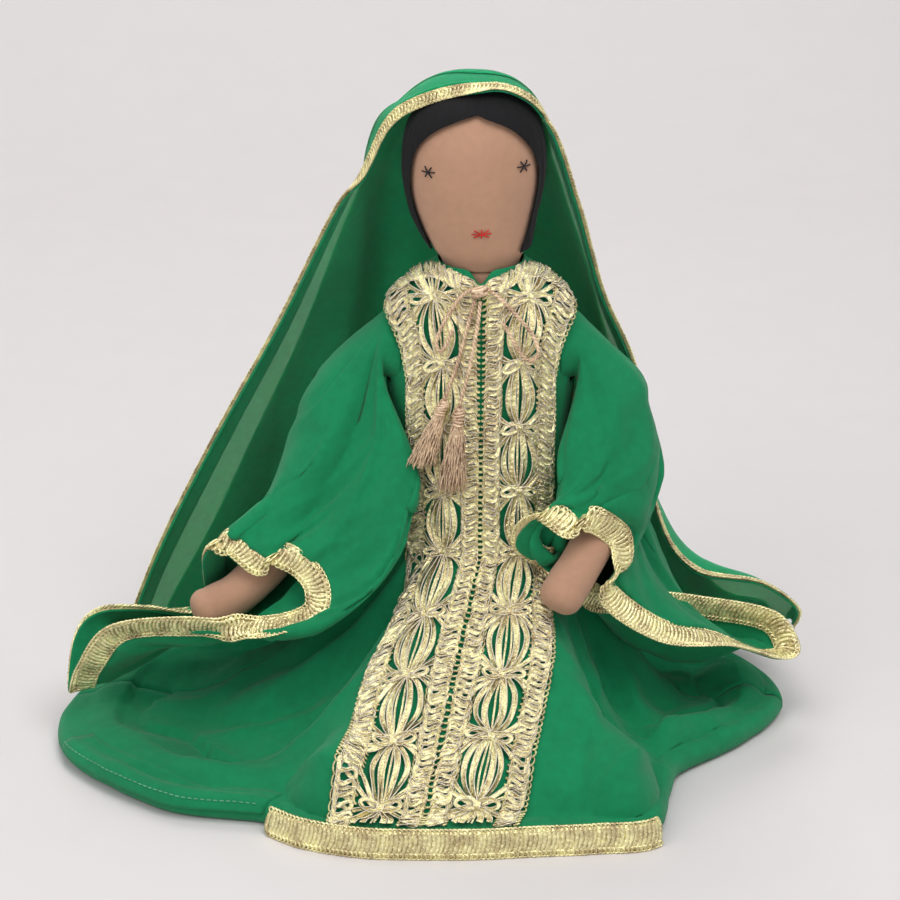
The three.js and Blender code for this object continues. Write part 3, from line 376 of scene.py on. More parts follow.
def normals_of(grid, closed):
    """Unit normals of a grid of points."""
    if closed:
        du = np.roll(grid, -1, axis=1) - np.roll(grid, 1, axis=1)
    else:
        du = np.gradient(grid, axis=1)
    dv = np.gradient(grid, axis=0)
    return unit(np.cross(du, dv))


def outward_normals(grid):
    """Normals of the dress, all pointing up or away from the doll."""
    out = normals_of(grid, False)
    away = xyz(grid[..., 0], grid[..., 1], 20.0)
    return out * np.sign((out * away).sum(-1))[..., None]


def ripple(a, b, seed):
    """Smooth noise from -1 to 1 over two arrays of places."""
    flat = zip(np.ravel(a), np.ravel(b))
    values = [noise.noise(Vector((p, q, seed))) for p, q in flat]
    return np.array(values).reshape(np.shape(a))


def creases(a, b, seed):
    """Sharper folds than ripple: soft crests with narrow valleys."""
    return 1 - 2 * np.abs(ripple(a, b, seed))


def arm_stations(side):
    """Centres and radii of the arm's curve."""
    return [
        [x * REACH, y * REACH, z * ARMHOLE_HEIGHT, ARM_RADIUS * swell]
        for (x, y, z), swell in zip(ARM_LEFT if side > 0 else ARM_RIGHT, ARM_SWELL)
    ]


def keep_above(points, height):
    """Lifts points that lie lower than a height above the ground."""
    points[..., 2] = np.maximum(points[..., 2], height)


def over_dress(p):
    """Lifts points clear of the skirt and out of the bodice."""
    soft = 4 * LAYER_GAP
    room = skirt_height(p[..., 0], p[..., 1]) + LACE_GAP + LACE_THICKNESS + 2 * LAYER_GAP + CLOTH
    z = room + soft * np.logaddexp(0, (p[..., 2] - room) / soft)
    a = BODICE_HALF_WIDTH + 4 * LAYER_GAP
    b = BODICE_HALF_DEPTH + 5 * LAYER_GAP
    near = np.maximum(np.hypot(p[..., 0] / a, p[..., 1] / b), 1e-6)
    push = np.where(near < 1, 1 / near, 1)
    return xyz(p[..., 0] * push, p[..., 1] * push, z)


def over_arm(grid, stations):
    """Moves the sleeve out from the arm inside it."""
    out = -normals_of(grid, True)
    push = np.zeros(grid.shape[:2])
    for x, y, z, r in spline(stations, np.linspace(0, 1, 41)):
        away = grid - np.array([x, y, z])
        room = r + 5 * LAYER_GAP
        along = (away * out).sum(-1)
        squared = (away**2).sum(-1)
        across = np.sqrt(np.maximum(squared - along**2, 0))
        near = (across < room) & (np.sqrt(squared) < 1.6 * room)
        reach = np.sqrt(np.maximum(room**2 - across**2, 0)) - along
        push = np.where(near, np.maximum(push, reach), push)
    push[:2] = 0
    push[-1:] = 0
    return grid + out * push[..., None]


def sleeve_grid(side, steps, rows):
    """Sleeve from the round armhole to the wide cuff, its last rows the braid's width apart."""
    cuff, sag = (CUFF_LEFT, SAG_LEFT) if side > 0 else (CUFF_RIGHT, SAG_RIGHT)
    first_turn, rise = (0.12, -1) if side > 0 else (0, 1)
    t = np.arange(steps) / steps
    a = (t + first_turn) * TAU
    start_x = ARM_SEAT + 2.5 * LAYER_GAP
    ring = xyz(side * start_x, -ARMHOLE_RADIUS * np.sin(a), ARMHOLE_HEIGHT + rise * ARMHOLE_RADIUS * np.cos(a))
    end = spline(cuff, t, True) * REACH
    dip = spline(sag, t, True) * REACH
    tuck = spline(TUCK_LEFT if side > 0 else TUCK_RIGHT, t, True) * REACH
    made = []
    for i in range(9):
        s = i / 8
        row = ring * (1 - s) + end * s + (dip + tuck * ease(s, 0.2, 0.6)) * 4 * s * (1 - s)
        if i < 2:
            row = ring.copy()
            row[:, 0] = side * (start_x, BODICE_HALF_WIDTH + LAYER_GAP)[i]
        made.append(row)
    grid = over_arm(np.array(made), arm_stations(side))
    grid[2:] = over_dress(grid[2:])
    inset = grid[-1] + unit(grid[-2] - grid[-1]) * BRAID_WIDTH
    grid = np.concatenate([grid[:-1], inset[None], grid[-1:]])
    knots = np.array([0, 1, 2, 3, 4, 5, 6, 7, 7.85, 8.3]) / 8.3
    at = np.linspace(0, 1, rows)
    index = np.interp(at, knots, np.arange(10)) / 9
    return spline(grid, index), at


def over_hair(p):
    """Pushes points of the veil out of the hair."""
    centre = np.array([HEAD_LEAN, 0, NECK_HEIGHT + SEAM_GAP + HEAD_HEIGHT / 2])
    room = HAIR + 3 * LAYER_GAP
    away = p - centre
    half = np.array([HEAD_HALF_WIDTH + room, HEAD_HALF_DEPTH + room, HEAD_HEIGHT / 2 - CROWN_DROP + room])
    near = (np.abs(away / half) ** 2.4).sum(-1) ** (1 / 2.4)
    return np.where((near < 1)[..., None], centre + away / np.maximum(near, 1e-6)[..., None], p)


def turned_edge(grid, across):
    """Turns the veil's front edge down over the forehead on the doll's right, so that its braid faces forward."""
    width = 7.0
    run = run_of(grid)
    corner = np.exp(-(((across - 0.335) / 0.045) ** 2) - ((run - 20) / 13) ** 2)
    grid = grid + 8.5 * corner[..., None] * np.array([-0.75, 0.1, 0.65])
    share = ease(across[0], 0.2, 0.33) * (1 - ease(across[0], 0.4, 0.48))
    for j in np.nonzero(share > 0)[0]:
        bend = at_run(grid[:, j], run[:, j], width)
        way = unit((grid[0, j] - bend) / width * (1 - share[j]) + np.array([0, -0.35, -0.94]) * share[j])
        near = run[:, j] < width
        grid[near, j] = bend + way * (width - run[near, j])[:, None]
    return grid


def veil_grid(steps, rows):
    """Veil from the edge that frames the face, round the back to the hem."""
    across = np.linspace(0, 1, steps)
    down = np.linspace(0, 1, rows) ** 1.25
    lines = np.stack([spline(table, across) for table in (VEIL_EDGE, VEIL_UPPER, VEIL_LOWER, VEIL_HEM)])
    grid = spline(lines, down) * np.array([REACH, REACH, VEIL_TOP])
    a, d = np.meshgrid(across, down)
    grid[..., 1] += VEIL_FOLD_DEPTH * np.sin(a * TAU * VEIL_FOLDS) * np.sin(np.pi * d**1.3)
    grid = over_hair(grid)
    grid = turned_edge(grid, a)
    under = skirt_height(grid[..., 0], grid[..., 1])
    keep_above(grid, np.where(under > 0, under + 4 * LAYER_GAP, 0.2))
    return grid, a, d


# Mesh making


def linked(name, data):
    """A new object in the scene."""
    obj = bpy.data.objects.new(name, data)
    bpy.context.scene.collection.objects.link(obj)
    return obj


def evaluated(obj):
    """A mesh of the object with its modifiers in it."""
    bpy.context.view_layer.update()
    depsgraph = bpy.context.evaluated_depsgraph_get()
    return bpy.data.meshes.new_from_object(obj.evaluated_get(depsgraph), depsgraph=depsgraph)


def wear(obj, body, node=None):
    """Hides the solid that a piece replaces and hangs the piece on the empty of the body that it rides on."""
    if node:
        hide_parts(node)
    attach(obj, body)


def blender_mesh(name, points, faces, uvs=None, material=None):
    """An object from points in millimetres and faces."""
    mesh = bpy.data.meshes.new(name)
    mesh.from_pydata((np.asarray(points) * MM).tolist(), [], faces)
    if uvs is not None:
        layer = mesh.uv_layers.new(name="UVMap")
        index = np.zeros(len(mesh.loops), dtype=np.int32)
        mesh.loops.foreach_get("vertex_index", index)
        layer.data.foreach_set("uv", np.asarray(uvs, float)[index].ravel())
    mesh.polygons.foreach_set("use_smooth", [True] * len(mesh.polygons))
    mesh.update()
    if material:
        mesh.materials.append(material)
    return linked(name, mesh)


def grid_faces(h, w, closed, flip=False):
    faces = []
    for i in range(h - 1):
        for j in range(w if closed else w - 1):
            k = (j + 1) % w
            quad = (i * w + j, i * w + k, (i + 1) * w + k, (i + 1) * w + j)
            faces.append(quad[::-1] if flip else quad)
    return faces


def cloth_uv(grid):
    """Place on the cloth in units of 10 mm, along and across."""
    u, v = run_of(grid.swapaxes(0, 1)).T, run_of(grid)
    return np.stack([u - u.mean(axis=1, keepdims=True), v], axis=-1).reshape(-1, 2) / 10


def cloth_piece(name, grid, finish, closed=False, flip=False, keep=None, thickness=CLOTH):
    """A cloth surface with its real thickness, from a grid of points, and its area."""
    if closed:
        grid = np.concatenate([grid, grid[:, :1]], axis=1)
    faces = grid_faces(*grid.shape[:2], False, flip)
    points = grid.reshape(-1, 3)
    if keep is not None:
        middles = points[np.array(faces)].mean(axis=1)
        faces = [f for f, ok in zip(faces, keep(middles)) if ok]
    obj = blender_mesh(name, points, faces, cloth_uv(grid), finish_of(finish))
    work = bmesh.new()
    work.from_mesh(obj.data)
    bmesh.ops.remove_doubles(work, verts=work.verts, dist=1e-6)
    bmesh.ops.delete(work, geom=[v for v in work.verts if not v.link_faces], context="VERTS")
    work.to_mesh(obj.data)
    work.free()
    area = sum(p.area for p in obj.data.polygons)
    solid = obj.modifiers.new("Cloth thickness", "SOLIDIFY")
    solid.thickness = thickness * MM
    solid.offset = -1
    return obj, area


class Soup:
    """Gathers swept ribbons, threads and cords into one mesh."""

    def __init__(self):
        self.points, self.faces, self.uvs, self.count = [], [], [], 0

    def sweep(self, path, side, up, ring):
        """Closed section (across, height, u) carried along a path, with capped ends."""
        ring = np.asarray(ring, float)
        n, m = len(path), len(ring)
        across = ring[None, :, 0, None] * side[:, None, :]
        height = ring[None, :, 1, None] * up[:, None, :]
        self.points.append((path[:, None, :] + (across + height)).reshape(-1, 3))
        run = run_of(path)[:, None] / 10
        uv = np.stack([np.broadcast_to(ring[None, :, 2], (n, m)), np.broadcast_to(run, (n, m))], -1)
        self.uvs.append(uv.reshape(-1, 2))
        base = self.count
        for i in range(n - 1):
            for j in range(m):
                k = (j + 1) % m
                a, b = base + i * m + j, base + i * m + k
                self.faces.append((a, a + m, b + m, b))
        self.faces.append(tuple(base + j for j in range(m)))
        self.faces.append(tuple(base + (n - 1) * m + j for j in reversed(range(m))))
        self.count += n * m

    def thread(self, path, radius, sides=5, up=(0.31, -0.9, 0.3)):
        """Round thread along a path."""
        path = np.asarray(path, float)
        way = unit(np.gradient(path, axis=0))
        side = unit(np.cross(way, up))
        ring = [
            (radius * math.cos(TAU * k / sides), radius * math.sin(TAU * k / sides), k / sides) for k in range(sides)
        ]
        self.sweep(path, side, np.cross(side, way), ring)

    def build(self, name, finish):
        return blender_mesh(
            name, np.concatenate(self.points), self.faces, np.concatenate(self.uvs), finish_of(finish))


def flat_ribbon(soup, path, up, half_width, roll):
    """Foil ribbon with a raised thread along both edges."""
    way = unit(np.gradient(path, axis=0))
    side = unit(np.cross(way, up))
    above = np.cross(side, way)
    c, s = np.cos(roll)[:, None], np.sin(roll)[:, None]
    side, above = side * c + above * s, above * c - side * s
    w, t = half_width, FOIL
    ring = [
        (-w, 0, 0), (-0.8 * w, 1.5 * t, 0.06), (-0.6 * w, 0.5 * t, 0.2), (0, 0.9 * t, 0.5),
        (0.6 * w, 0.5 * t, 0.8), (0.8 * w, 1.5 * t, 0.94), (w, 0, 1), (0, -0.2 * t, 0.5),
    ]
    soup.sweep(path, side, above, ring[::-1])


def closed_form(rings):
    """Points and faces of a form through rings of points, with both ends closed."""
    n, m = rings.shape[:2]
    points = np.concatenate([rings.reshape(-1, 3), [rings[0].mean(axis=0)], [rings[-1].mean(axis=0)]])
    faces = grid_faces(n, m, True)
    for j in range(m):
        k = (j + 1) % m
        faces += [(n * m, k, j), (n * m + 1, (n - 1) * m + j, (n - 1) * m + k)]
    return points, faces


def stuffed_piece(name, rings, node, body):
    """Stuffed skin through rings of points."""
    rings = np.asarray(rings, float)
    uv = cloth_uv(rings)
    obj = blender_mesh(name, *closed_form(rings), np.concatenate([uv, uv[:1], uv[-1:]]), finish_of("skin"))
    wear(obj, body, node)
    return obj


def level_ring(z, a, b, x, steps, squareness):
    """Points of a level ring, round or squarish."""
    t = np.arange(steps) / steps * TAU
    c, s = np.cos(t), np.sin(t)
    r = (np.abs(c) ** squareness + np.abs(s) ** squareness) ** (-1 / squareness)
    return xyz(x + a * r * c, b * r * s, z)


def limb_rings(stations, rows, steps):
    """Rings of points round a limb's curve."""
    at = np.linspace(0, 1, rows)
    body = spline(stations, at)
    path, radius = body[:, :3], body[:, 3]
    way = unit(np.gradient(path, axis=0))
    side = unit(np.cross([0, 0, 1], way))
    up = np.cross(way, side)
    a = np.arange(steps) / steps * TAU
    ring = side[:, None] * np.cos(a)[None, :, None] + up[:, None] * np.sin(a)[None, :, None]
    return path[:, None] + radius[:, None, None] * ring


# Nodes


def feed(tree, socket, value):
    """Gives a socket its value, or links it from another socket."""
    if isinstance(value, bpy.types.NodeSocket):
        tree.links.new(value, socket)
    else:
        socket.default_value = value


def add_node(tree, kind, inputs=(), **settings):
    """A node with its settings, and its inputs by name or number."""
    node = tree.nodes.new(kind)
    for key, value in settings.items():
        setattr(node, key, value)
    for key, value in dict(inputs).items():
        feed(tree, node.inputs[key], value)
    return node


def math_node(tree, operation, *values):
    return add_node(tree, "ShaderNodeMath", enumerate(values), operation=operation).outputs[0]


def of_type(sockets, kind):
    return [s for s in sockets if s.type == kind]


def loop_row_tree():
    """Rows of like loops set along an edge, facing out of the cloth, at an even spacing."""
    tree = bpy.data.node_groups.new("Loop row", "GeometryNodeTree")
    for label, kind, default in (
        ("Geometry", "Geometry", None), ("Spacing", "Float", 0.0024), ("Length scale", "Float", 1.0),
        ("Height scale", "Float", 1.0), ("Jitter", "Float", 0.1), ("Seed", "Int", 3), ("Loop", "Object", None),
        ("Material", "Material", None),
    ):
        socket = tree.interface.new_socket(label, in_out="INPUT", socket_type="NodeSocket" + kind)
        if default is not None:
            socket.default_value = default
    tree.interface.new_socket("Geometry", in_out="OUTPUT", socket_type="NodeSocketGeometry")
    given = add_node(tree, "NodeGroupInput").outputs
    curve = add_node(tree, "GeometryNodeMeshToCurve", {"Mesh": given["Geometry"]}).outputs["Curve"]
    even = add_node(tree, "GeometryNodeResampleCurve", mode="LENGTH")
    feed(tree, even.inputs["Curve"], curve)
    feed(tree, even.inputs["Length"], given["Spacing"])
    along, outward = (
        add_node(tree, "GeometryNodeInputNamedAttribute", {"Name": label}, data_type="FLOAT_VECTOR")
        for label in ("along", "outward")
    )
    turn = add_node(
        tree, "FunctionNodeAxesToRotation",
        {"Primary Axis": along.outputs["Attribute"], "Secondary Axis": outward.outputs["Attribute"]},
        primary_axis="X", secondary_axis="Z",
    )
    chance = add_node(tree, "FunctionNodeRandomValue", {"Seed": given["Seed"]}, data_type="FLOAT")
    for socket, operation in zip(of_type(chance.inputs, "VALUE"), ("SUBTRACT", "ADD")):
        feed(tree, socket, math_node(tree, operation, 1, given["Jitter"]))
    chosen = of_type(chance.outputs, "VALUE")[0]
    scale = add_node(tree, "ShaderNodeCombineXYZ", {
        "X": math_node(tree, "MULTIPLY", chosen, given["Length scale"]), "Y": given["Height scale"], "Z": chosen,
    })
    seen = add_node(tree, "GeometryNodeObjectInfo", {"Object": given["Loop"], "As Instance": True})
    place = add_node(tree, "GeometryNodeInstanceOnPoints", {
        "Points": even.outputs["Curve"], "Instance": seen.outputs["Geometry"], "Rotation": turn.outputs["Rotation"],
        "Scale": scale.outputs["Vector"],
    })
    real = add_node(tree, "GeometryNodeRealizeInstances", {"Geometry": place.outputs["Instances"]})
    dress = add_node(tree, "GeometryNodeSetMaterial", {
        "Geometry": real.outputs["Geometry"], "Material": given["Material"],
    })
    add_node(tree, "NodeGroupOutput", {"Geometry": dress.outputs["Geometry"]})
    return tree


def loop_row(name, path, along, outward, loop, spacing):
    """A piece of trim: the loop repeated along a path by the Loop row tree."""
    tree = bpy.data.node_groups.get("Loop row") or loop_row_tree()
    mesh = bpy.data.meshes.new(name + "_line")
    mesh.from_pydata((np.asarray(path) * MM).tolist(), [(i, i + 1) for i in range(len(path) - 1)], [])
    for label, vectors in (("along", along), ("outward", outward)):
        attribute = mesh.attributes.new(label, "FLOAT_VECTOR", "POINT")
        attribute.data.foreach_set("vector", np.asarray(vectors, float).ravel())
    line = linked(name + "_line", mesh)
    rows = line.modifiers.new("Loop row", "NODES")
    rows.node_group = tree
    values = {"Loop": loop, "Material": finish_of("braid"), "Spacing": spacing * MM, "Jitter": 0.12}
    for item in tree.interface.items_tree:
        if item.item_type == "SOCKET" and item.in_out == "INPUT" and item.name in values:
            rows[item.identifier] = values[item.name]
    done = evaluated(line)
    done.name = name
    done.polygons.foreach_set("use_smooth", [True] * len(done.polygons))
    bpy.data.objects.remove(line)
    return linked(name, done)


def ring_loop(name, length, height, radius, steps, tilt=0.0, flat=1.0):
    """A small closed loop of thread, in its own local axes: X along the trim, Y across it, Z out of it."""
    sides, lift = 4, 0.3
    points, faces = [], []
    for i in range(steps):
        a = i / steps * TAU
        centre = np.array([
            length / 2 * math.cos(a) + tilt * math.sin(a), height / 2 * math.sin(a), lift * math.cos(a) + radius,
        ])
        way = unit(np.array([
            -length / 2 * math.sin(a) + tilt * math.cos(a), height / 2 * math.cos(a), -lift * math.sin(a),
        ]))
        side = unit(np.cross(way, [0, 0, 1]))
        up = np.cross(side, way)
        for k in range(sides):
            b = (k + (0.5 if flat > 1 else 0)) / sides * TAU
            points.append(centre + radius * (flat * side * math.cos(b) + up * math.sin(b)))
            p, q = (i + 1) % steps, (k + 1) % sides
            faces.append((i * sides + k, p * sides + k, p * sides + q, i * sides + q))
    return blender_mesh(name, points, faces, [(0.5, 0.5)] * len(points))


# Materials


def srgb(r, g, b):
    """A colour as a colour picker gives it, from 0 to 255, in Blender's own units."""
    return tuple((v / 255 / 12.92) if v / 255 <= 0.04045 else ((v / 255 + 0.055) / 1.055) ** 2.4 for v in (r, g, b))


def shader_group(name, inputs, outputs):
    """A new group of shader nodes, with the sockets that it takes and gives."""
    group = bpy.data.node_groups.new(name, "ShaderNodeTree")
    kinds = {"value": "NodeSocketFloat", "colour": "NodeSocketColor", "vector": "NodeSocketVector"}
    for label, kind, default in inputs:
        socket = group.interface.new_socket(label, in_out="INPUT", socket_type=kinds[kind])
        if default is not None:
            socket.default_value = default
    for label, kind in outputs:
        group.interface.new_socket(label, in_out="OUTPUT", socket_type=kinds[kind])
    return group, add_node(group, "NodeGroupInput").outputs, add_node(group, "NodeGroupOutput").inputs


def noise_node(tree, place, scale, detail):
    return add_node(tree, "ShaderNodeTexNoise", {"Vector": place, "Scale": scale, "Detail": detail}).outputs["Fac"]


def relief(tree, height, strength, distance, inputs=()):
    """Normal of a small relief, laid over another one where that is given."""
    values = {"Height": height, "Strength": strength, "Distance": distance, **dict(inputs)}
    return add_node(tree, "ShaderNodeBump", values).outputs["Normal"]


def mixed_colour(tree, share, first, second):
    mix = add_node(tree, "ShaderNodeMix", {"Factor": share}, data_type="RGBA")
    for socket, colour in zip(of_type(mix.inputs, "RGBA"), (first, second)):
        feed(tree, socket, colour)
    return of_type(mix.outputs, "RGBA")[0]


def weave_group():
    """Plain weave: threads that pass over and under each other, with thicker ones here and there."""
    tree, given, done = shader_group(
        "Plain weave",
        [("Vector", "vector", None), ("Threads", "value", 24.0), ("Slubs", "value", 0.3)],
        [("Height", "value"), ("Gaps", "value")],
    )
    split = add_node(tree, "ShaderNodeSeparateXYZ", {0: given["Vector"]}).outputs
    rows = []
    for axis in "XY":
        run = math_node(tree, "MULTIPLY", split[axis], given["Threads"])
        rows.append(math_node(tree, "SINE", math_node(tree, "MULTIPLY", run, TAU)))
    over = math_node(tree, "MULTIPLY", *rows)
    stretch = add_node(tree, "ShaderNodeMapping", {"Vector": given["Vector"], "Scale": (0.6, 9, 1)})
    slub = math_node(tree, "MULTIPLY", noise_node(tree, stretch.outputs["Vector"], 1.6, 3), given["Slubs"])
    feed(tree, done["Height"], math_node(tree, "ADD", over, slub))
    feed(tree, done["Gaps"], math_node(tree, "GREATER_THAN", over, 0.55))
    return tree


def tone_group():
    """Uneven colour: a soft drift over the whole piece and a finer one in it."""
    tree, given, done = shader_group(
        "Uneven tone",
        [("Vector", "vector", None), ("Dark", "colour", (0, 0, 0, 1)), ("Light", "colour", (1, 1, 1, 1)),
         ("Broad", "value", 14.0), ("Fine", "value", 160.0)],
        [("Colour", "colour"), ("Mask", "value")],
    )
    broad, fine = (
        math_node(tree, "MULTIPLY", noise_node(tree, given["Vector"], given[label], detail), share)
        for label, detail, share in (("Broad", 2, 0.6), ("Fine", 4, 0.4))
    )
    mask = add_node(tree, "ShaderNodeMapRange", {
        "From Min": 0.36, "From Max": 0.64, "Value": math_node(tree, "ADD", broad, fine),
    }).outputs["Result"]
    feed(tree, done["Colour"], mixed_colour(tree, mask, given["Dark"], given["Light"]))
    feed(tree, done["Mask"], mask)
    return tree


def place_group(tree, name, make, inputs):
    """One of the two groups above, made when it is first used."""
    group = bpy.data.node_groups.get(name) or make()
    node = tree.nodes.new("ShaderNodeGroup")
    node.node_tree = group
    for key, value in inputs.items():
        feed(tree, node.inputs[key], value)
    return node.outputs


def shaded(colour, amount):
    return tuple(min(c * amount, 1) for c in colour[:3]) + (1,)


def new_material(name, colour, spread, broad, fine, **finish):
    """A material in an uneven tone of its colour, with uniform values for its finish."""
    material = bpy.data.materials.new(name)
    material.use_nodes = True
    tree = material.node_tree
    here = add_node(tree, "ShaderNodeTexCoord").outputs
    tone = place_group(tree, "Uneven tone", tone_group, {
        "Vector": here["Object"], "Dark": shaded(colour, 1 - spread), "Light": shaded(colour, 1 + spread),
        "Broad": broad, "Fine": fine,
    })
    skin = tree.nodes["Principled BSDF"].inputs
    feed(tree, skin["Base Color"], tone["Colour"])
    for key, value in finish.items():
        skin[key.replace("_", " ")].default_value = value
    return material, tree, here, tone, skin


def cotton(name, colour, threads, spread, roughness, sheen, see_through=None, bump=0.35):
    """Plain woven cotton, thin enough to see through where a share is given."""
    material, tree, here, _, skin = new_material(
        name, colour, spread, broad=18, fine=240, Roughness=roughness, Sheen_Weight=sheen, Sheen_Roughness=0.5,
        Specular_IOR_Level=0.25)
    weave = place_group(tree, "Plain weave", weave_group, {"Threads": threads, "Vector": here["UV"]})
    crumple = relief(tree, noise_node(tree, here["Object"], scale=70, detail=3), strength=0.5, distance=0.0012)
    feed(tree, skin["Normal"], relief(tree, weave["Height"], bump, distance=0.00012, inputs={"Normal": crumple}))
    if see_through is not None:
        skin["Subsurface Weight"].default_value = 0.85
        skin["Subsurface Radius"].default_value = (0.6, 1, 0.8)
        skin["Subsurface Scale"].default_value = 0.002
        gap = math_node(tree, "MULTIPLY", math_node(tree, "MULTIPLY", weave["Gaps"], 0.5), see_through)
        feed(tree, skin["Alpha"], math_node(tree, "SUBTRACT", 1 - see_through, gap))
    return material


def metal_thread(name, colour, metallic, roughness, pale=None):
    """Metallic yarn or foil ribbon: glints from its crumple, with threads of another colour along a ribbon's edges."""
    material, tree, here, tone, skin = new_material(
        name, colour, spread=0.4, broad=120, fine=900, Metallic=metallic)
    split = add_node(tree, "ShaderNodeSeparateXYZ", {0: here["UV"]}).outputs
    if pale:
        off = math_node(tree, "ABSOLUTE", math_node(tree, "SUBTRACT", split["X"], 0.5))
        rim = math_node(tree, "GREATER_THAN", off, 0.36)
        feed(tree, skin["Base Color"], mixed_colour(tree, rim, tone["Colour"], tuple(pale[:3]) + (1,)))
        feed(tree, skin["Metallic"], math_node(tree, "MULTIPLY_ADD", rim, -0.55 * metallic, metallic))
    feed(tree, skin["Roughness"], math_node(tree, "MULTIPLY_ADD", tone["Mask"], 0.25, roughness - 0.1))
    wave = math_node(tree, "SINE", math_node(tree, "MULTIPLY", split["Y"], 30 * TAU))
    dent = relief(tree, noise_node(tree, here["Object"], scale=520, detail=2), strength=0.9, distance=0.001)
    feed(tree, skin["Normal"], relief(tree, wave, strength=0.5, distance=0.0001, inputs={"Normal": dent}))
    return material


def plain_yarn(name, colour):
    """Matte stitching yarn with its twist."""
    material, tree, here, _, skin = new_material(name, colour, spread=0.25, broad=90, fine=1100, Roughness=0.85)
    twist = add_node(tree, "ShaderNodeTexWave", {"Scale": 9, "Vector": here["UV"]}, bands_direction="DIAGONAL")
    feed(tree, skin["Normal"], relief(tree, twist.outputs["Fac"], strength=0.6, distance=0.0002))
    return material


def paper(name, colour):
    """Pale studio floor and wall, that shows nothing from behind."""
    material, tree, _, _, skin = new_material(
        name, colour, spread=0.012, broad=1.2, fine=30, Roughness=0.95, Specular_IOR_Level=0.1)
    behind = add_node(tree, "ShaderNodeNewGeometry").outputs["Backfacing"]
    feed(tree, skin["Alpha"], math_node(tree, "SUBTRACT", 1, behind))
    return material


def finish_of(key):
    """The piece's material, made once from the user's colours."""
    name = "doll_" + key
    cloth, trim = bpy.context.scene.doll_cloth, bpy.context.scene.doll_trim
    gold, pale = trim.gold_colour, trim.pale_colour
    makers = {
        "skin": lambda: cotton(name, cloth.skin_colour, threads=20, spread=0.06, roughness=0.88, sheen=0.12, bump=0.5),
        "hair": lambda: cotton(name, cloth.hair_colour, threads=8, spread=0.4, roughness=0.85, sheen=0.02, bump=0.8),
        "dress": lambda: cotton(name, cloth.dress_colour, threads=24, spread=0.14, roughness=0.82, sheen=0.1),
        "veil": lambda: cotton(
            name, cloth.veil_colour, threads=14, spread=0.14, roughness=0.85, sheen=0.15,
            see_through=cloth.veil_see_through),
        "lace": lambda: metal_thread(name, gold, metallic=0.82, roughness=0.22, pale=pale),
        "braid": lambda: metal_thread(name, gold, metallic=0.5, roughness=0.28),
        "backing": lambda: metal_thread(name, shaded(gold, 0.9), metallic=0.4, roughness=0.5),
        "tie": lambda: metal_thread(name, trim.tie_colour, metallic=0.45, roughness=0.34),
        "black_stitch": lambda: plain_yarn(name, (0.012, 0.011, 0.013)),
        "red_stitch": lambda: plain_yarn(name, srgb(230, 58, 46)),
        "seam_stitch": lambda: plain_yarn(name, srgb(120, 188, 152)),
    }
    return bpy.data.materials.get(name) or makers[key]()


# What a user may change


class DollClothSettings(bpy.types.PropertyGroup):
    dress_colour: FloatVectorProperty(
        name="Dress", description="Colour of the cotton dress", subtype="COLOR", size=3, min=0, max=1,
        default=srgb(8, 128, 80))
    veil_colour: FloatVectorProperty(
        name="Veil", description="Colour of the thin veil", subtype="COLOR", size=3, min=0, max=1,
        default=srgb(18, 163, 103))
    skin_colour: FloatVectorProperty(
        name="Skin", description="Colour of the stuffed cotton", subtype="COLOR", size=3, min=0, max=1,
        default=srgb(190, 147, 120))
    hair_colour: FloatVectorProperty(
        name="Hair", description="Colour of the hair cloth", subtype="COLOR", size=3, min=0, max=1,
        default=srgb(10, 9, 11))
    veil_see_through: FloatProperty(
        name="Veil see-through", description="Share of light that passes the veil", subtype="FACTOR", min=0, max=0.9,
        default=0.26)
    veil_thickness: FloatProperty(
        name="Veil cloth", description="Thickness of the veil's cotton", subtype="DISTANCE", unit="LENGTH",
        default=0.0004, min=0.0002, max=0.0009)
    fold_depth: FloatProperty(
        name="Creases", description="Depth of the small folds in the dress", subtype="DISTANCE", unit="LENGTH",
        default=0.0028, min=0, max=0.004)


class DollTrimSettings(bpy.types.PropertyGroup):
    gold_colour: FloatVectorProperty(
        name="Gold", description="Colour of the metallic ribbon and yarn", subtype="COLOR", size=3, min=0, max=1,
        default=srgb(238, 213, 160))
    pale_colour: FloatVectorProperty(
        name="Edge thread", description="Colour of the ribbon's edge threads", subtype="COLOR", size=3, min=0, max=1,
        default=srgb(240, 229, 206))
    tie_colour: FloatVectorProperty(
        name="Tie", description="Colour of the neck cord and tassels", subtype="COLOR", size=3, min=0, max=1,
        default=srgb(238, 196, 164))
    braid_spacing: FloatProperty(
        name="Braid spacing", description="From one loop of the braid to the next", subtype="DISTANCE",
        unit="LENGTH", default=0.0022, min=0.001, max=0.006)
    ribbon_half_width: FloatProperty(
        name="Lace ribbon", description="Half the width of the lace's foil ribbon", subtype="DISTANCE",
        unit="LENGTH", default=0.0015, min=0.0005, max=0.003)
    tassel_threads: IntProperty(
        name="Tassel threads", description="Threads in each tassel", default=96, min=12, max=200)


class DollStageSettings(bpy.types.PropertyGroup):
    light: FloatProperty(
        name="Light", description="Power of the main lamp", subtype="POWER", unit="POWER", default=24, min=1, max=400)
    floor_colour: FloatVectorProperty(
        name="Floor", description="Colour of the pale floor and wall", subtype="COLOR", size=3, min=0, max=1,
        default=srgb(219, 214, 213))


# The pieces


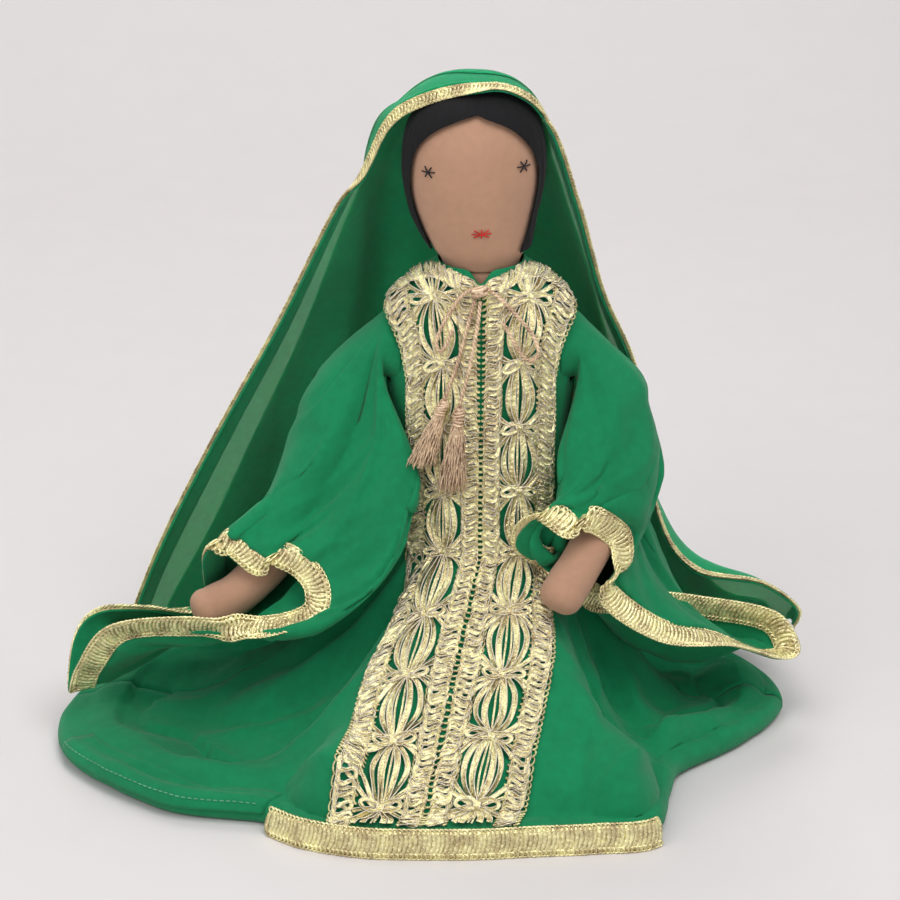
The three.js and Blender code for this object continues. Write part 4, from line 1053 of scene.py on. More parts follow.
def dress_grid(first, last, steps):
    """Points of the dress between two turns, bodice and skirt in one, with its small creases."""
    turn = np.linspace(first, last, steps)
    a, b = np.meshgrid(turn, BODICE_ROWS)
    upper = bodice_points(a, b)
    c, d = np.meshgrid(turn, SKIRT_ROWS)
    lower = skirt_points(c, d)
    valley = ease(np.abs(ripple(c * 17 + d * 1.2, d * 1.3, 6.0)), 0.05, 0.5)
    valley *= ease(np.abs(np.cos(c * TAU)), 0.45, 0.8) * np.sin(np.pi * np.clip(d, 0, 0.96)) ** 0.7
    lower[..., 2] *= 1 - 0.42 * valley
    grid = np.concatenate([upper, lower])
    deep = bpy.context.scene.doll_cloth.fold_depth / MM
    free = np.concatenate([0.25 * np.sin(np.pi * b), np.sin(np.pi * np.clip(d, 0, 0.97)) ** 0.6])
    x, y = np.concatenate([a * 5, c * 9]), np.concatenate([b * 4, d * 1.7])
    # Long creases, shorter ones that cross them, and small ripples
    fold = 0.9 * creases(x * 2.0 + y * 1.2, y * 1.3, 4.0) ** 3
    fold += 0.7 * creases(x * 3.4 - y * 1.1, y * 2.3, 14.0)
    fold += 0.4 * ripple(x * 6, y * 3, 9.0)
    grid += outward_normals(grid) * (deep * free * (fold - 0.2))[..., None]
    skirt = grid[len(BODICE_ROWS):]
    room = np.where(d < 0.85, over_leg(skirt[..., 0], skirt[..., 1]) + 0.3, 0)
    keep_above(skirt, room)
    keep_above(grid, 0.4)
    return grid


def outside_armholes(middles):
    """Which faces of the dress don't lie in an armhole."""
    away = np.hypot(middles[:, 1], middles[:, 2] - ARMHOLE_HEIGHT)
    return (away > ARMHOLE_RADIUS - 1.5) | (np.abs(middles[:, 0]) < 30)


def camera_setup():
    """The photograph's view: a long lens, a little above the doll."""
    data = bpy.data.cameras.new("photo_camera")
    data.lens, data.sensor_width = LENS, 36
    camera = linked("photo_camera", data)
    tilt = math.radians(CAMERA_TILT)
    across, height = CAMERA_AIM
    camera.location = (across, -CAMERA_REACH * math.cos(tilt), height + CAMERA_REACH * math.sin(tilt))
    camera.rotation_euler = (math.pi / 2 - tilt, 0, 0)
    bpy.context.scene.camera = camera


class DOLL_OT_stage(bpy.types.Operator):
    """Pale floor and wall, soft lamps and the photograph's camera"""

    bl_idname = "doll.stage"
    bl_label = "Stage"

    def execute(self, context):
        settings = context.scene.doll_stage
        camera_setup()
        near, width, depth, rise, bend = -9000, 6000, 1500, 2600, 700
        profile = [(near, 0), (depth - bend, 0)]
        profile += [
            (depth - bend + bend * math.sin(a), bend - bend * math.cos(a))
            for a in np.linspace(0, math.pi / 2, 24)[1:]
        ]
        profile += [(depth, rise)]
        sunk = 0.4
        points = [(x, y, z - sunk) for y, z in profile for x in (-width, width)]
        faces = [(2 * i, 2 * i + 1, 2 * i + 3, 2 * i + 2) for i in range(len(profile) - 1)]
        floor = blender_mesh("studio_floor", points, faces, [(0, 0)] * len(points),
                             paper("studio_paper", settings.floor_colour))
        for name, place, size, power in (
            ("main_lamp", (0.45, -0.9, 2.05), 1.5, settings.light),
            ("side_lamp", (-1.2, -1.2, 1.3), 1.5, 0.4 * settings.light),
            ("back_lamp", (-0.3, 1.0, 1.7), 1.0, 0.36 * settings.light),
        ):
            lamp = bpy.data.lights.new(name, "AREA")
            lamp.shape, lamp.size, lamp.energy = "DISK", size, power
            obj = linked(name, lamp)
            obj.location = place
            obj.rotation_euler = (Vector((0, 0, 0.15)) - Vector(place)).to_track_quat("-Z", "Y").to_euler()
        world = bpy.data.worlds.new("soft_room")
        world.use_nodes = True
        tree = world.node_tree
        room = tree.nodes["Background"].inputs
        room["Color"].default_value = (0.9, 0.92, 0.95, 1)
        seen = add_node(tree, "ShaderNodeLightPath").outputs
        way = add_node(tree, "ShaderNodeTexCoord").outputs["Generated"]
        rise = add_node(tree, "ShaderNodeSeparateXYZ", {0: way}).outputs["Z"]
        gloss = math_node(tree, "MULTIPLY", seen["Is Glossy Ray"], math_node(tree, "MULTIPLY_ADD", rise, 1.1, 0.15))
        watched = math_node(tree, "MULTIPLY_ADD", seen["Is Camera Ray"], 0.26, 0.52)
        feed(tree, room["Strength"], math_node(tree, "ADD", gloss, watched))
        context.scene.world = world
        context.scene.view_settings.view_transform = "Standard"
        return {"FINISHED"}


class DOLL_OT_body(bpy.types.Operator):
    """Stuffed torso with its neck, and the two legs under the skirt"""

    bl_idname = "doll.body"
    bl_label = "Torso and legs"

    def execute(self, context):
        heights = np.concatenate([np.linspace(0, 0.1, 14), np.linspace(0.1, 1, 60)[1:]])
        at = np.interp(heights, [row[0] for row in TORSO], np.linspace(0, 1, len(TORSO)))
        shares = spline(TORSO, at)
        rings = [
            level_ring(z * NECK_HEIGHT, a * TORSO_HALF_WIDTH - 0.4, b * TORSO_HALF_DEPTH - 0.4, 0, 96, n)
            for z, a, b, n in shares
        ]
        stuffed_piece("torso_skin", rings, "torso", "body")
        for side, word in SIDES:
            stations = [
                [side * (HIP[0] + (FOOT[0] - HIP[0]) * LEG_LENGTH * k / 6),
                 HIP[1] + (FOOT[1] - HIP[1]) * LEG_LENGTH * k / 6, LEG_RADIUS, LEG_RADIUS * s]
                for k, s in enumerate(LEG_SWELL)
            ]
            rings = limb_rings(stations, 50, 40)[8:]
            keep_above(rings, 0.6)
            stuffed_piece("leg_skin_" + word, rings, "leg_" + word, "leg_" + word)
        return {"FINISHED"}


class DOLL_OT_arms(bpy.types.Operator):
    """Stuffed arms with mitten hands"""

    bl_idname = "doll.arms"
    bl_label = "Arms and hands"

    def execute(self, context):
        for side, word in SIDES:
            axis = spline(arm_stations(side), np.linspace(0, 1, 80))
            tip = np.clip((np.linspace(0, 1, 80) - 0.86) / 0.14, 0, 1)
            axis[:, 3] *= 1.05 * np.sqrt(np.maximum(1 - tip**2.4, 0.002)) / np.where(tip > 0, 0.5 + 0.5 * (1 - tip), 1)
            axis[:, 3] = np.minimum(axis[:, 3], ARM_RADIUS * 0.9)
            stuffed_piece("arm_skin_" + word, limb_rings(axis[12:], 90, 44), "arm_" + word, "arm_" + word)
        return {"FINISHED"}


def head_rings(grow, rows, steps):
    """Rings of the head, or of a form that is larger by grow, with its low crown."""
    rings = []
    for z, a, b in spline(HEAD, np.linspace(0, 1, rows)):
        lean = HEAD_LEAN * ease(z, 0, 0.3)
        top = grow * ease(z, 0.4, 0.9) - CROWN_DROP * ease(z, 0.6, 1)
        rings.append(level_ring(
            NECK_HEIGHT + SEAM_GAP + z * HEAD_HEIGHT + top, a * HEAD_HALF_WIDTH + grow, b * HEAD_HALF_DEPTH + grow,
            lean, steps, 2,
        ))
    return np.array(rings)


def surface_tree(obj):
    """Ray-casting tree of an object's mesh, in millimetres."""
    points = [v.co / MM for v in obj.data.vertices]
    return BVHTree.FromPolygons(points, [tuple(p.vertices) for p in obj.data.polygons])


def star(soup, tree, place, strokes, radius):
    """Stitches that cross at one place of the face, each with its angle and length, lying on the cloth."""
    x, z = place
    for angle, length in strokes:
        path = []
        for k in np.linspace(-1, 1, 9):
            px = x + 0.5 * length * k * math.cos(angle)
            pz = z + 0.5 * length * k * math.sin(angle)
            hit, normal, _, _ = tree.ray_cast(Vector((px, -200, pz)), Vector((0, 1, 0)))
            lift = 0.55 * (1 - k * k) ** 0.5 + 0.05
            path.append(np.array(hit) + np.array(normal) * (lift + 0.1))
        soup.thread(path, radius, 6, (0, -1, 0.0))


class DOLL_OT_head(bpy.types.Operator):
    """Stuffed head with stitched eyes and mouth, and its cloth hair"""

    bl_idname = "doll.head"
    bl_label = "Head and hair"

    def execute(self, context):
        head = stuffed_piece("head_skin", head_rings(0, 70, 96), "head", "head")
        tree = surface_tree(head)
        eyes, mouth = Soup(), Soup()
        star(eyes, tree, EYE_RIGHT, [(0.1, 6.2), (1.05, 6.0), (2.15, 6.0)], 0.34)
        star(eyes, tree, EYE_LEFT, [(-0.05, 6.2), (1.0, 6.0), (2.1, 6.0)], 0.34)
        star(mouth, tree, MOUTH, [(0.03, 9.5), (0.5, 8.0), (2.62, 8.0), (1.55, 4.4)], 0.3)
        wear(eyes.build("eye_stitches", "black_stitch"), "head")
        wear(mouth.build("mouth_stitches", "red_stitch"), "head")
        wear(self.hair(), "head", "hair")
        return {"FINISHED"}

    def hair(self):
        """Hair cloth: the head's form grown by its thickness, opened along a smooth face outline."""
        outer = head_rings(HAIR, HAIR_ROWS, HAIR_STEPS)
        turn = np.arctan2(outer[..., 1], outer[..., 0] - HEAD_LEAN)
        strand = ripple(turn * 16, outer[..., 2] / 40, 2.0) * 0.35
        part = -0.9 * np.exp(-(((outer[..., 0] + 1.5) / 1.6) ** 2)) * ease(outer[..., 2], 315, 325)
        outer = outer + unit(outer - outer.mean(axis=1, keepdims=True)) * (strand + part)[..., None]
        inner = head_rings(SEAM_GAP + 0.2, HAIR_ROWS, HAIR_STEPS)
        forms = []
        for name, rings in (("hair_cloth", outer), ("hair_room", inner)):
            points, faces = closed_form(rings)
            forms.append(blender_mesh(name, points, faces, [(0, 0)] * len(points)))
        outline = np.concatenate([[FACE[0]], spline(FACE[1:-1], np.linspace(0, 1, 90)), [FACE[-1]]])
        x = outline[:, 0] * HEAD_HALF_WIDTH + HEAD_LEAN
        z = NECK_HEIGHT + SEAM_GAP + outline[:, 1] * HEAD_HEIGHT
        n = len(x)
        points = [(px, y, pz) for y in (-90, -HEAD_HALF_DEPTH / 4) for px, pz in zip(x, z)]
        faces = [(k, (k + 1) % n, n + (k + 1) % n, n + k) for k in range(n)]
        faces += [tuple(range(n))[::-1], tuple(range(n, 2 * n))]
        forms.append(blender_mesh("face_opening", points, faces))
        low, high = NECK_HEIGHT - 40, NECK_HEIGHT + 0.1 * HEAD_HEIGHT
        box = [(sx * 90, sy * 90, sz) for sz in (low, high) for sx, sy in ((-1, -1), (1, -1), (1, 1), (-1, 1))]
        sides = [(3, 2, 1, 0), (4, 5, 6, 7)] + [(k, (k + 1) % 4, 4 + (k + 1) % 4, 4 + k) for k in range(4)]
        forms.append(blender_mesh("nape_opening", box, sides))
        hair, tools = forms[0], forms[1:]
        for form in forms:
            work = bmesh.new()
            work.from_mesh(form.data)
            bmesh.ops.recalc_face_normals(work, faces=work.faces)
            work.to_mesh(form.data)
            work.free()
        for tool in tools:
            cut = hair.modifiers.new(tool.name, "BOOLEAN")
            cut.operation, cut.object, cut.solver = "DIFFERENCE", tool, "EXACT"
        mesh = evaluated(hair)
        hair.modifiers.clear()
        hair.data = mesh
        mesh.materials.clear()
        mesh.materials.append(finish_of("hair"))
        mesh.polygons.foreach_set("use_smooth", [True] * len(mesh.polygons))
        mesh.polygons.foreach_set("material_index", [0] * len(mesh.polygons))
        for tool in tools:
            bpy.data.objects.remove(tool)
        return hair


class DOLL_OT_dress(bpy.types.Operator):
    """Front and back panels of the dress, from the neck to the hem"""

    bl_idname = "doll.dress"
    bl_label = "Dress"

    def execute(self, context):
        for name, node, first, last, steps in (
            ("dress_panel_front", "dress_front", 0.5, 1.0, 190), ("dress_panel_back", "dress_back", 0.0, 0.5, 150),
        ):
            grid = dress_grid(first, last, steps)
            panel, area = cloth_piece(name, grid, "dress", keep=outside_armholes, flip=True)
            wear(panel, "body", node)
            if node == "dress_front":
                self.turned_hem(grid, steps)
        return {"FINISHED"}

    def turned_hem(self, grid, steps):
        """The hem's turned edge with its stitches, where the skirt lies in a roll on the doll's right."""
        turn = np.linspace(0.5, 1.0, steps)
        columns = np.nonzero((turn > 0.532) & (turn < 0.632))[0]
        rows = len(BODICE_ROWS) + np.nonzero((SKIRT_ROWS > 0.86) & (SKIRT_ROWS < 0.967))[0]
        share = ease(np.arange(len(rows)) / (len(rows) - 1), 0, 0.8)[:, None, None]
        near, way = grid[np.ix_(rows, columns)], outward_normals(grid)[np.ix_(rows, columns)]
        ends = np.sin(np.linspace(0, np.pi, len(columns)))[None, :, None] ** 0.4
        layer = near + way * (0.2 + 2.6 * share * ends)
        piece, area = cloth_piece("skirt_turned_hem", layer, "dress", flip=True)
        wear(piece, "body", "dress_front")
        soup = Soup()
        line = layer[-5] + way[-5] * 0.5
        run = run_of(line)
        for start in np.arange(2, run[-1] - 4, 3.2):
            soup.thread(at_run(line, run, np.linspace(start, start + 1.9, 4)), 0.3, 5)
        wear(soup.build("skirt_hem_stitches", "seam_stitch"), "body", "dress_front")


class DOLL_OT_sleeves(bpy.types.Operator):
    """Wide bell sleeves"""

    bl_idname = "doll.sleeves"
    bl_label = "Sleeves"

    def execute(self, context):
        for side, word in SIDES:
            sleeve, area = cloth_piece("sleeve_cloth_" + word, sleeve_surface(side), "dress", closed=True)
            wear(sleeve, "arm_" + word, "sleeve_" + word)
        return {"FINISHED"}


def sleeve_surface(side, steps=170, rows=90):
    """The sleeve's points with its folds, which die out at the armhole and the cuff."""
    grid, at = sleeve_grid(side, steps, rows)
    turn, b = np.meshgrid(np.arange(steps) / steps, at)
    cos, sin = np.cos(turn * TAU), np.sin(turn * TAU)
    # Long creases, shorter ones that cross them, and small ripples
    fold = creases(cos * 1.5 + b * 1.1, sin * 1.5 + b * 0.4, 3.0 + side) ** 3
    fold += 0.8 * creases(cos * 2.6 - b * 1.6, sin * 2.6 + b * 2.2, 7.0 + side)
    fold += 0.5 * ripple(cos * 3.2, sin * 3.2 + b * 3, side)
    free = ease(b, 0.1, 0.3) * (1 - ease(b, 0.84, 0.97))
    push = np.clip(2.6 * free * fold, -2.2, 3.6)
    return grid - normals_of(grid, True) * push[..., None]


class DOLL_OT_veil(bpy.types.Operator):
    """Long thin veil with its turned hem and narrow braid"""

    bl_idname = "doll.veil"
    bl_label = "Veil"

    def execute(self, context):
        settings = context.scene.doll_cloth
        grid, a, d = veil_grid(250, 140)
        out = normals_of(grid, False)
        fold = ripple(a * 16, d * 1.6, 5.0) + 0.5 * creases(a * 11 + d * 0.6, d * 1.2, 8.0)
        grid = grid + out * (2.3 * ease(d, 0.05, 0.3) * fold)[..., None]
        keep_above(grid, 0.3)
        veil, area = cloth_piece("veil_cloth", grid, "veil", thickness=settings.veil_thickness / MM)
        wear(veil, "veil", "veil")
        self.braid(grid, out)
        self.layers(grid, out, a)
        return {"FINISHED"}

    def layers(self, grid, out, across):
        """The turned hem behind the front edge, and the cloth that lies double further back."""
        run = run_of(grid)
        uneven = ripple(across[0] * 14, across[0] * 0, 11.0)
        fallen = 1 - ease(across[0], 0.04, 0.27) * (1 - ease(across[0], 0.6, 0.75))
        for name, first, last, rows, lift, held in (
            ("veil_hem", 0.4 + 0 * uneven, 8 + 7 * fallen + 0.8 * uneven, 10, -0.55, "stretched"),
            ("veil_fold", 19 + 27 * fallen + 6 * uneven, run[-1] - 3, 80, 0.75, "folded"),
        ):
            columns = []
            for j in range(grid.shape[1]):
                at = np.linspace(first[j], max(last[j], first[j] + 2), rows)
                columns.append(at_run(grid[:, j] + lift * out[:, j], run[:, j], at))
            layer = np.stack(columns, axis=1)
            keep_above(layer, 0.9)
            piece, area = cloth_piece(name, layer, "veil", thickness=THIN_CLOTH)
            wear(piece, "veil", "veil")

    def braid(self, grid, out):
        """Narrow braid along the edge that frames the face."""
        middle = grid[0] + unit(grid[1] - grid[0]) * VEIL_BRAID_WIDTH / 2 + out[0] * 0.9
        trim_row("veil_trim", middle, out[0], VEIL_BRAID_WIDTH, 2.0, "veil", "veil_braid", VEIL_YARN)


def trim_row(name, middle, outward, width, spacing, body, node, thread):
    """Braid along a line: crossing loops of metallic yarn between two scalloped edges, on a plain band."""
    along = unit(np.gradient(middle, axis=0))
    outward = unit(outward - along * (outward * along).sum(1, keepdims=True))
    across = np.cross(outward, along)
    for _ in range(8):
        blur(across)
    across = unit(across)
    made = []
    for part, share, loop in (
        ("_ribs", 0, (1.7 * spacing, 0.86 * width, 0.8 * thread, 12, 0.4 * spacing, 2.8)),
        ("_edge", 0.45, (1.4 * spacing, 0.2 * width, thread, 10)),
        ("_rim", -0.45, (1.4 * spacing, 0.2 * width, thread, 10)),
    ):
        shape = ring_loop(name + part + "_loop", *loop)
        made.append(loop_row(name + part, middle + across * share * width, along, outward, shape, spacing))
        bpy.data.objects.remove(shape)
    band = np.stack([middle + across * k * 0.42 * width - outward * 0.25 for k in np.linspace(-1, 1, 7)])
    made.append(cloth_piece(name + "_band", band, "backing", thickness=THIN_CLOTH)[0])
    for piece in made:
        wear(piece, body, node)


class DOLL_OT_braid(bpy.types.Operator):
    """Gimp braid round both cuffs and along the hem in front"""

    bl_idname = "doll.braid"
    bl_label = "Cuff and hem braid"

    def execute(self, context):
        spacing = context.scene.doll_trim.braid_spacing / MM
        for side, word in SIDES:
            grid = sleeve_surface(side)
            out = -normals_of(grid, True)
            run = np.linalg.norm(grid[-1] - grid, axis=-1).mean(axis=1)
            row = int(np.argmin(np.abs(run - BRAID_WIDTH / 2)))
            middle = grid[row] + out[row] * 1.2
            middle = np.concatenate([middle, middle[:2]])
            outward = np.concatenate([out[row], out[row][:2]])
            trim_row("cuff_trim_" + word, middle, outward, BRAID_WIDTH, spacing, "arm_" + word,
                     "cuff_braid_" + word, CUFF_YARN)
        turn = np.linspace(*HEM_BRAID, 200)
        edge = hem_reach(turn)
        cos, sin = np.cos(turn * TAU), np.sin(turn * TAU)
        wide = 1.12 * BRAID_WIDTH
        middle = xyz((edge + 1.0) * cos, (edge + 1.0) * sin, wide / 2 + 0.4)
        way = np.gradient(middle, axis=0)
        outward = np.cross(way, [0, 0, 1])
        outward = outward / np.linalg.norm(outward, axis=1, keepdims=True) + np.array([0, 0, 0.25])
        trim_row("hem_trim", middle, outward, wide, spacing, "body", "hem_braid", HEM_YARN)
        return {"FINISHED"}


class LaceStrip:
    """One strip of lace on the dress: turns places on the flat strip into places on the cloth."""

    def __init__(self, side, tree):
        slope_front = SKIRT_FRONT - BRAID_THICKNESS
        slope = math.hypot(slope_front - BODICE_HALF_DEPTH, LAP)
        self.length = BODICE_LACE + slope - 0.35 * BRAID_WIDTH
        rows, columns = 300, 27
        points = np.zeros((rows, columns, 3))
        slant = math.tan(math.radians(CAMERA_TILT))
        for i, run in enumerate(np.linspace(0, self.length, rows)):
            on_bodice = run / BODICE_LACE
            on_skirt = min(max((run - BODICE_LACE) / slope, 0), 1)
            width = LACE_WIDTH * float(np.interp(on_bodice, LACE_FALL, LACE_NARROW))
            width += (LACE_WIDTH - width) * float(ease(on_skirt, 0, 0.4))
            slit = float(np.interp(on_bodice, [0, 0.45, 0.6, 1], LACE_SLIT))
            for j, across in enumerate(np.linspace(-LACE_PAST, 1 + LACE_PAST, columns)):
                x = side * (slit + across * width) - on_skirt * 0.65 * LACE_WIDTH
                if run <= BODICE_LACE:
                    top = float(np.interp(across, LACE_ACROSS, LACE_TOP))
                    z = max(top + (LAP - top) * run / BODICE_LACE, LAP + SEAM_GAP)
                    hit = None
                    while hit is None and z > LAP:
                        start = Vector((x, -SKIRT_FRONT, z + slant * (SKIRT_FRONT - BODICE_HALF_DEPTH)))
                        hit = tree.ray_cast(start, Vector((0, 1, -slant)).normalized())[0]
                        z -= 0.5
                else:
                    y = -BODICE_HALF_DEPTH * 1.05 + (BODICE_HALF_DEPTH * 1.05 - slope_front) * on_skirt
                    hit = tree.ray_cast(Vector((x, y, 2 * LAP)), Vector((0, 0, -1)))[0]
                points[i, j] = hit if hit else points[max(i - 1, 0), j]
        for _ in range(6):
            blur(points)
            blur(points.swapaxes(0, 1))
        self.grid = points
        out = normals_of(points, False) * -side
        for _ in range(4):
            blur(out)
        self.out = unit(out)

    def within(self, v, room):
        """Which places along the strip lie within its ends."""
        return (v > room) & (v < self.length - room)

    def place(self, u, v, h):
        """Places at u mm across, v mm along and h mm above the strip, with the way out of the cloth."""
        rows, columns = self.grid.shape[:2]
        i = np.clip(np.asarray(v, float) / self.length * (rows - 1), 0, rows - 1.001)
        j = (np.asarray(u, float) / LACE_WIDTH + LACE_PAST) / (1 + 2 * LACE_PAST) * (columns - 1)
        j = np.clip(j, 0, columns - 1.001)
        i0, j0 = i.astype(int), j.astype(int)
        fi, fj = (i - i0)[..., None], (j - j0)[..., None]

        def mixed(table):
            return (table[i0, j0] * (1 - fi) * (1 - fj) + table[i0 + 1, j0] * fi * (1 - fj)
                    + table[i0, j0 + 1] * (1 - fi) * fj + table[i0 + 1, j0 + 1] * fi * fj)

        out = mixed(self.out)
        return mixed(self.grid) + out * np.asarray(h, float)[..., None], out


def swing(length, pitch, steps, phase=0):
    """The way of a ribbon that swings to and fro along a length: how far it has come, its turns and their angles."""
    turns = length / pitch
    t = np.linspace(0, turns, int(turns * steps))
    return length * t / turns, t, t * TAU + phase


def lace_ribbons(strip, half_width, seed):
    """The pattern: knots down the middle, ovals and bows of foil ribbon, and crinkled borders."""
    soup = Soup()
    chance = np.random.default_rng(seed)
    centre, base = LACE_WIDTH / 2, LACE_GAP * 0.45

    def lay(u, v, h, width, roll):
        path, up = strip.place(u, v, base + np.asarray(h))
        flat_ribbon(soup, path, up, width * half_width, roll)

    knots = np.arange(FIRST_KNOT, strip.length, LACE_PITCH)
    knots = np.concatenate([[knots[0] - LACE_PITCH], knots, [knots[-1] + LACE_PITCH]])
    t = np.linspace(0, 1, 22)
    for first, last in zip(knots[:-1], knots[1:]):
        for bulge, width, lean in LACE_OVALS:
            wide = bulge * chance.uniform(0.85, 1.15)
            u = centre + wide * np.sin(np.pi * t) ** 0.75 + chance.uniform(-0.5, 0.5)
            v = first + (last - first) * t
            h = 0.5 + chance.uniform(1.2, 2.0) * np.sin(np.pi * t)
            ok = strip.within(v, 0.5)
            if ok.sum() > 5:
                lay(u[ok], v[ok], h[ok], width, lean * np.cos(np.pi * t[ok]) + chance.uniform(-0.3, 0.3))
    for v0 in knots[1:-1]:
        for way in (-1, 1):
            for drop in (-9, -4.5, 4.5, 9):
                t = np.linspace(0, 1, 9)
                u = centre + way * (1 + 11.5 * t)
                v = v0 + (drop * chance.uniform(0.8, 1.2)) * t**1.4
                ok = strip.within(v, 0.3)
                if ok.sum() > 4:
                    lay(u[ok], v[ok], 0.6 + 1.3 * np.sin(np.pi * t[ok]), 0.8,
                        0.5 * np.sin(3 * t[ok]) + chance.uniform(-0.4, 0.4))
            a = np.linspace(-0.92 * np.pi, 0.92 * np.pi, 18)
            u = centre + way * (5.4 + 4.9 * np.cos(a))
            v = v0 + 2.3 * np.sin(a) + chance.uniform(-0.5, 0.5)
            lay(u, v, 1.6 + 0.9 * np.cos(a / 2), 0.75, 0.6 * np.sin(a))
        t = np.linspace(-1, 1, 8)
        lay(centre + 0 * t, v0 + 1.8 * t, 2.6 - 1.4 * t * t, 1.3, 0 * t)
    for middle in (LACE_BORDER_INSET, LACE_WIDTH - LACE_BORDER_INSET):
        for phase, pitch, width in LACE_BORDERS:
            run, t, a = swing(strip.length, pitch, 13, phase)
            bends = int(strip.length / pitch) + 2
            wobble = np.interp(t, np.arange(bends), chance.uniform(-0.7, 0.7, bends))
            u = middle + wobble + LACE_BORDER_REACH * np.cos(a)
            v = run + 1.5 * np.sin(2 * a) + 1.3 * np.sin(a)
            h = 0.7 + 0.7 * np.sin(a + 0.6) + 0.25 * np.sin(3.1 * t)
            ok = strip.within(v, 0.3)
            lay(u[ok], v[ok], h[ok], width, (0.7 * np.sin(1.7 * a + phase) + 0.4 * wobble)[ok])
    for phase, pitch, width in LACE_TOP_BORDERS:
        run, t, a = swing(LACE_WIDTH - 2 * LACE_TOP_INSET, pitch, 13, phase)
        u = LACE_TOP_INSET + run + 1.3 * np.sin(a)
        lay(u, 4.6 + 4.0 * np.cos(a), 1.4 + 0.7 * np.sin(a + 0.6), width, 0.6 * np.sin(1.7 * a + phase))
    return soup


def lace_threads(strip):
    """Scalloped rims of twisted yarn along the strip's four lines."""
    soup = Soup()
    for middle, reach, pitch in LACE_RIMS:
        run, _, a = swing(strip.length, pitch, 9)
        v = np.clip(run + 0.9 * np.sin(a), 0.2, strip.length - 0.2)
        path, up = strip.place(middle + reach * np.cos(a), v, 1.3 + 0.45 * np.sin(a))
        soup.thread(path, RIM_YARN, 4, up)
    return soup


class DOLL_OT_lace(bpy.types.Operator):
    """Two strips of openwork gold lace from the shoulders to the hem"""

    bl_idname = "doll.lace"
    bl_label = "Lace strips"

    def execute(self, context):
        half = context.scene.doll_trim.ribbon_half_width / MM
        tree = surface_tree(bpy.data.objects["dress_panel_front"])
        for side, word in SIDES:
            strip = LaceStrip(side, tree)
            ribbons = lace_ribbons(strip, half, 7 + side).build("lace_ribbons_" + word, "lace")
            threads = lace_threads(strip).build("lace_rims_" + word, "braid")
            for piece in (ribbons, threads):
                wear(piece, "body", "lace_" + word)
        return {"FINISHED"}


def twisted_cord(name, route, body, node):
    """Neck cord of two strands laid round each other along a route."""
    path, length = smooth_curve(route, 90)
    way = unit(np.gradient(path, axis=0))
    side = unit(np.cross(way, np.array([0.15, -0.95, 0.1])))
    up = np.cross(side, way)
    soup = Soup()
    strand = CORD * 0.27
    run = np.linspace(0, length, len(path))
    for phase in (0, np.pi):
        a = run / (2.1 * CORD) * TAU + phase
        line = path + (side * np.cos(a)[:, None] + up * np.sin(a)[:, None]) * (CORD / 2 - strand)
        soup.thread(line, strand, 7)
    obj = soup.build(name, "tie")
    wear(obj, body, node)


def tassel_piece(word, route, threads, seed):
    """Tassel: bound head, whipped neck and a skirt of crinkled threads."""
    top = np.array(route[-1], float)
    lean, full = TASSEL_LEAN[word], TASSEL_LENGTH * TASSEL_FALL[word]
    chance = np.random.default_rng(seed)
    soup = Soup()

    def centre(drop):
        return top + np.array([lean * drop * full, 0, -SEAM_GAP - drop * full])

    for k in range(threads):
        a = TAU * (k * 0.618)
        wide = math.sqrt((k + 0.5) / threads)
        drop = np.linspace(0.12, chance.uniform(0.9, 1.0), 14)
        spread = np.interp(drop, [0.12, 0.2, 0.3, 0.6, 1], [0.3, 0.38, 0.6, 0.98, 1.4])
        wave = 0.35 * np.sin(drop * 26 + chance.uniform(0, 6)) + chance.uniform(-0.4, 0.4) * drop
        x = top[0] + lean * drop * full + TASSEL_RADIUS * spread * wide * math.cos(a) + wave
        y = top[1] + 0.6 * TASSEL_RADIUS * spread * wide * math.sin(a) + 0.25 * np.cos(drop * 22 + k)
        z = top[2] - SEAM_GAP - drop * full
        soup.thread(xyz(x, y, z), 0.3, 4)
    a = np.linspace(0, TAU * 1.04, 20)
    for k, (drop, radius) in enumerate(TASSEL_WRAPS):
        turn = xyz(radius * np.cos(a), 0.75 * radius * np.sin(a), 0.5 * np.sin(a + k))
        soup.thread(centre(drop) + turn, 0.75, 5, (0, 0, 1))
    soup.thread(np.stack([centre(drop) for drop in np.linspace(0.01, 0.22, 8)]), 1.7, 8)
    tassel = soup.build("tassel_threads_" + word, "tie")
    wear(tassel, "tie_" + word, "tassel_" + word)
    return tassel


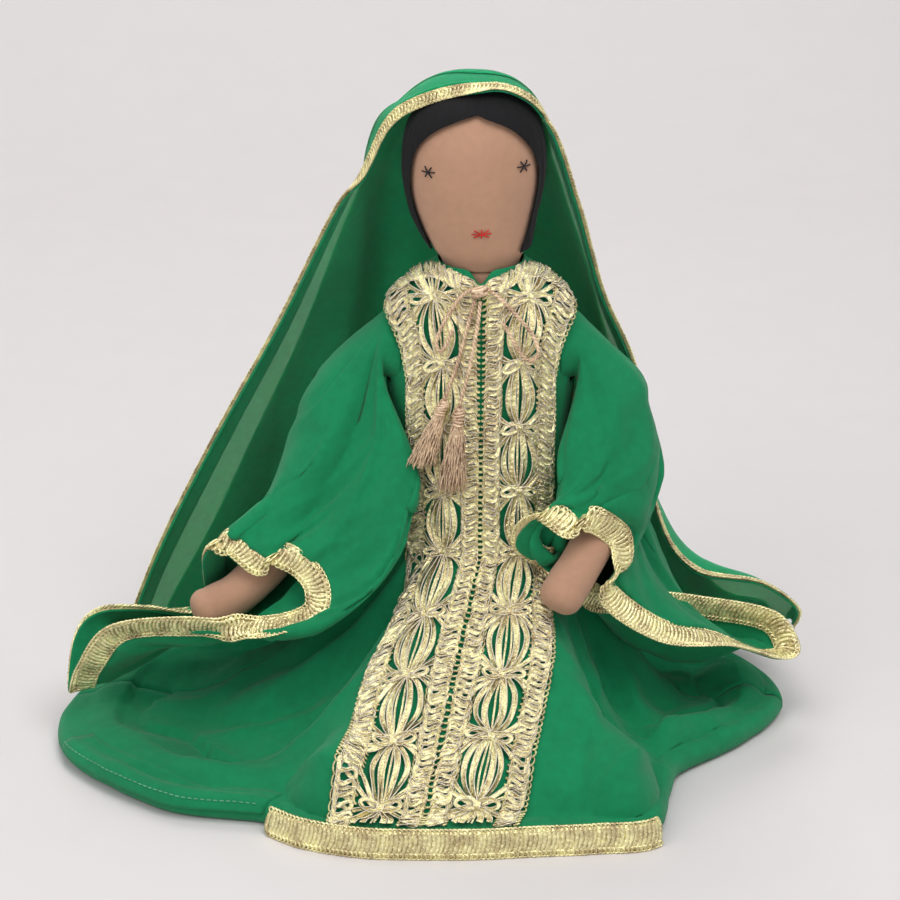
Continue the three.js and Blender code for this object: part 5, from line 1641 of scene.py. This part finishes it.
class DOLL_OT_tie(bpy.types.Operator):
    """Twisted neck cord: knot, two bow loops and two ends with tassels"""

    bl_idname = "doll.tie"
    bl_label = "Neck tie"

    def execute(self, context):
        threads = context.scene.doll_trim.tassel_threads
        for word, route, seed in (("right", TIE_END_RIGHT, 5), ("left", TIE_END_LEFT, 6)):
            tassel = tassel_piece(word, route, threads, seed)
            twisted_cord("tie_cord_" + word, route, "tie_" + word, "tie_end_" + word)
        for word, route in (("right", BOW_RIGHT), ("left", BOW_LEFT)):
            twisted_cord("bow_cord_" + word, route, "body", "bow_" + word)
        soup = Soup()
        x, y, z = TIE_KNOT
        a = np.linspace(0, TAU * 1.05, 26)
        for rise, tilt, wide in ((1.3, 0.5, 3.1), (0, -0.4, 3.4), (-1.4, 0.35, 3.0), (0.2, 1.3, 2.6)):
            line = xyz(x + wide * np.cos(a), y + 1.9 * np.sin(a), z + rise + tilt * wide * np.cos(a) * 0.6)
            soup.thread(line, 0.95, 7, (0, 0, 1))
        wear(soup.build("tie_knot_cord", "tie"), "body", "tie_knot")
        return {"FINISHED"}


class DOLL_PT_maker(bpy.types.Panel):
    """Lists the doll's pieces and settings"""

    bl_idname = "DOLL_PT_maker"
    bl_label = "Cloth doll"
    bl_space_type = "VIEW_3D"
    bl_region_type = "UI"
    bl_category = "Doll"

    def draw(self, context):
        layout = self.layout
        for group in (context.scene.doll_cloth, context.scene.doll_trim, context.scene.doll_stage):
            box = layout.box()
            for key in group.__annotations__:
                box.prop(group, key)
        for operator in OPERATORS:
            layout.operator(operator.bl_idname)


OPERATORS = (
    DOLL_OT_stage, DOLL_OT_tie, DOLL_OT_body, DOLL_OT_arms, DOLL_OT_head, DOLL_OT_dress, DOLL_OT_sleeves,
    DOLL_OT_lace, DOLL_OT_braid, DOLL_OT_veil,
)
CLASSES = (DollClothSettings, DollTrimSettings, DollStageSettings, *OPERATORS, DOLL_PT_maker)


def register():
    for cls in CLASSES:
        bpy.utils.register_class(cls)
    bpy.types.Scene.doll_cloth = PointerProperty(type=DollClothSettings)
    bpy.types.Scene.doll_trim = PointerProperty(type=DollTrimSettings)
    bpy.types.Scene.doll_stage = PointerProperty(type=DollStageSettings)


def unregister():
    for name in ("doll_cloth", "doll_trim", "doll_stage"):
        delattr(bpy.types.Scene, name)
    for cls in reversed(CLASSES):
        bpy.utils.unregister_class(cls)


def main():
    register()
    bpy.ops.doll.stage()
    bpy.ops.doll.tie()
    bpy.ops.doll.body()
    bpy.ops.doll.arms()
    bpy.ops.doll.head()
    bpy.ops.doll.dress()
    bpy.ops.doll.sleeves()
    bpy.ops.doll.lace()
    bpy.ops.doll.braid()
    bpy.ops.doll.veil()


if __name__ == "__main__":
    main()
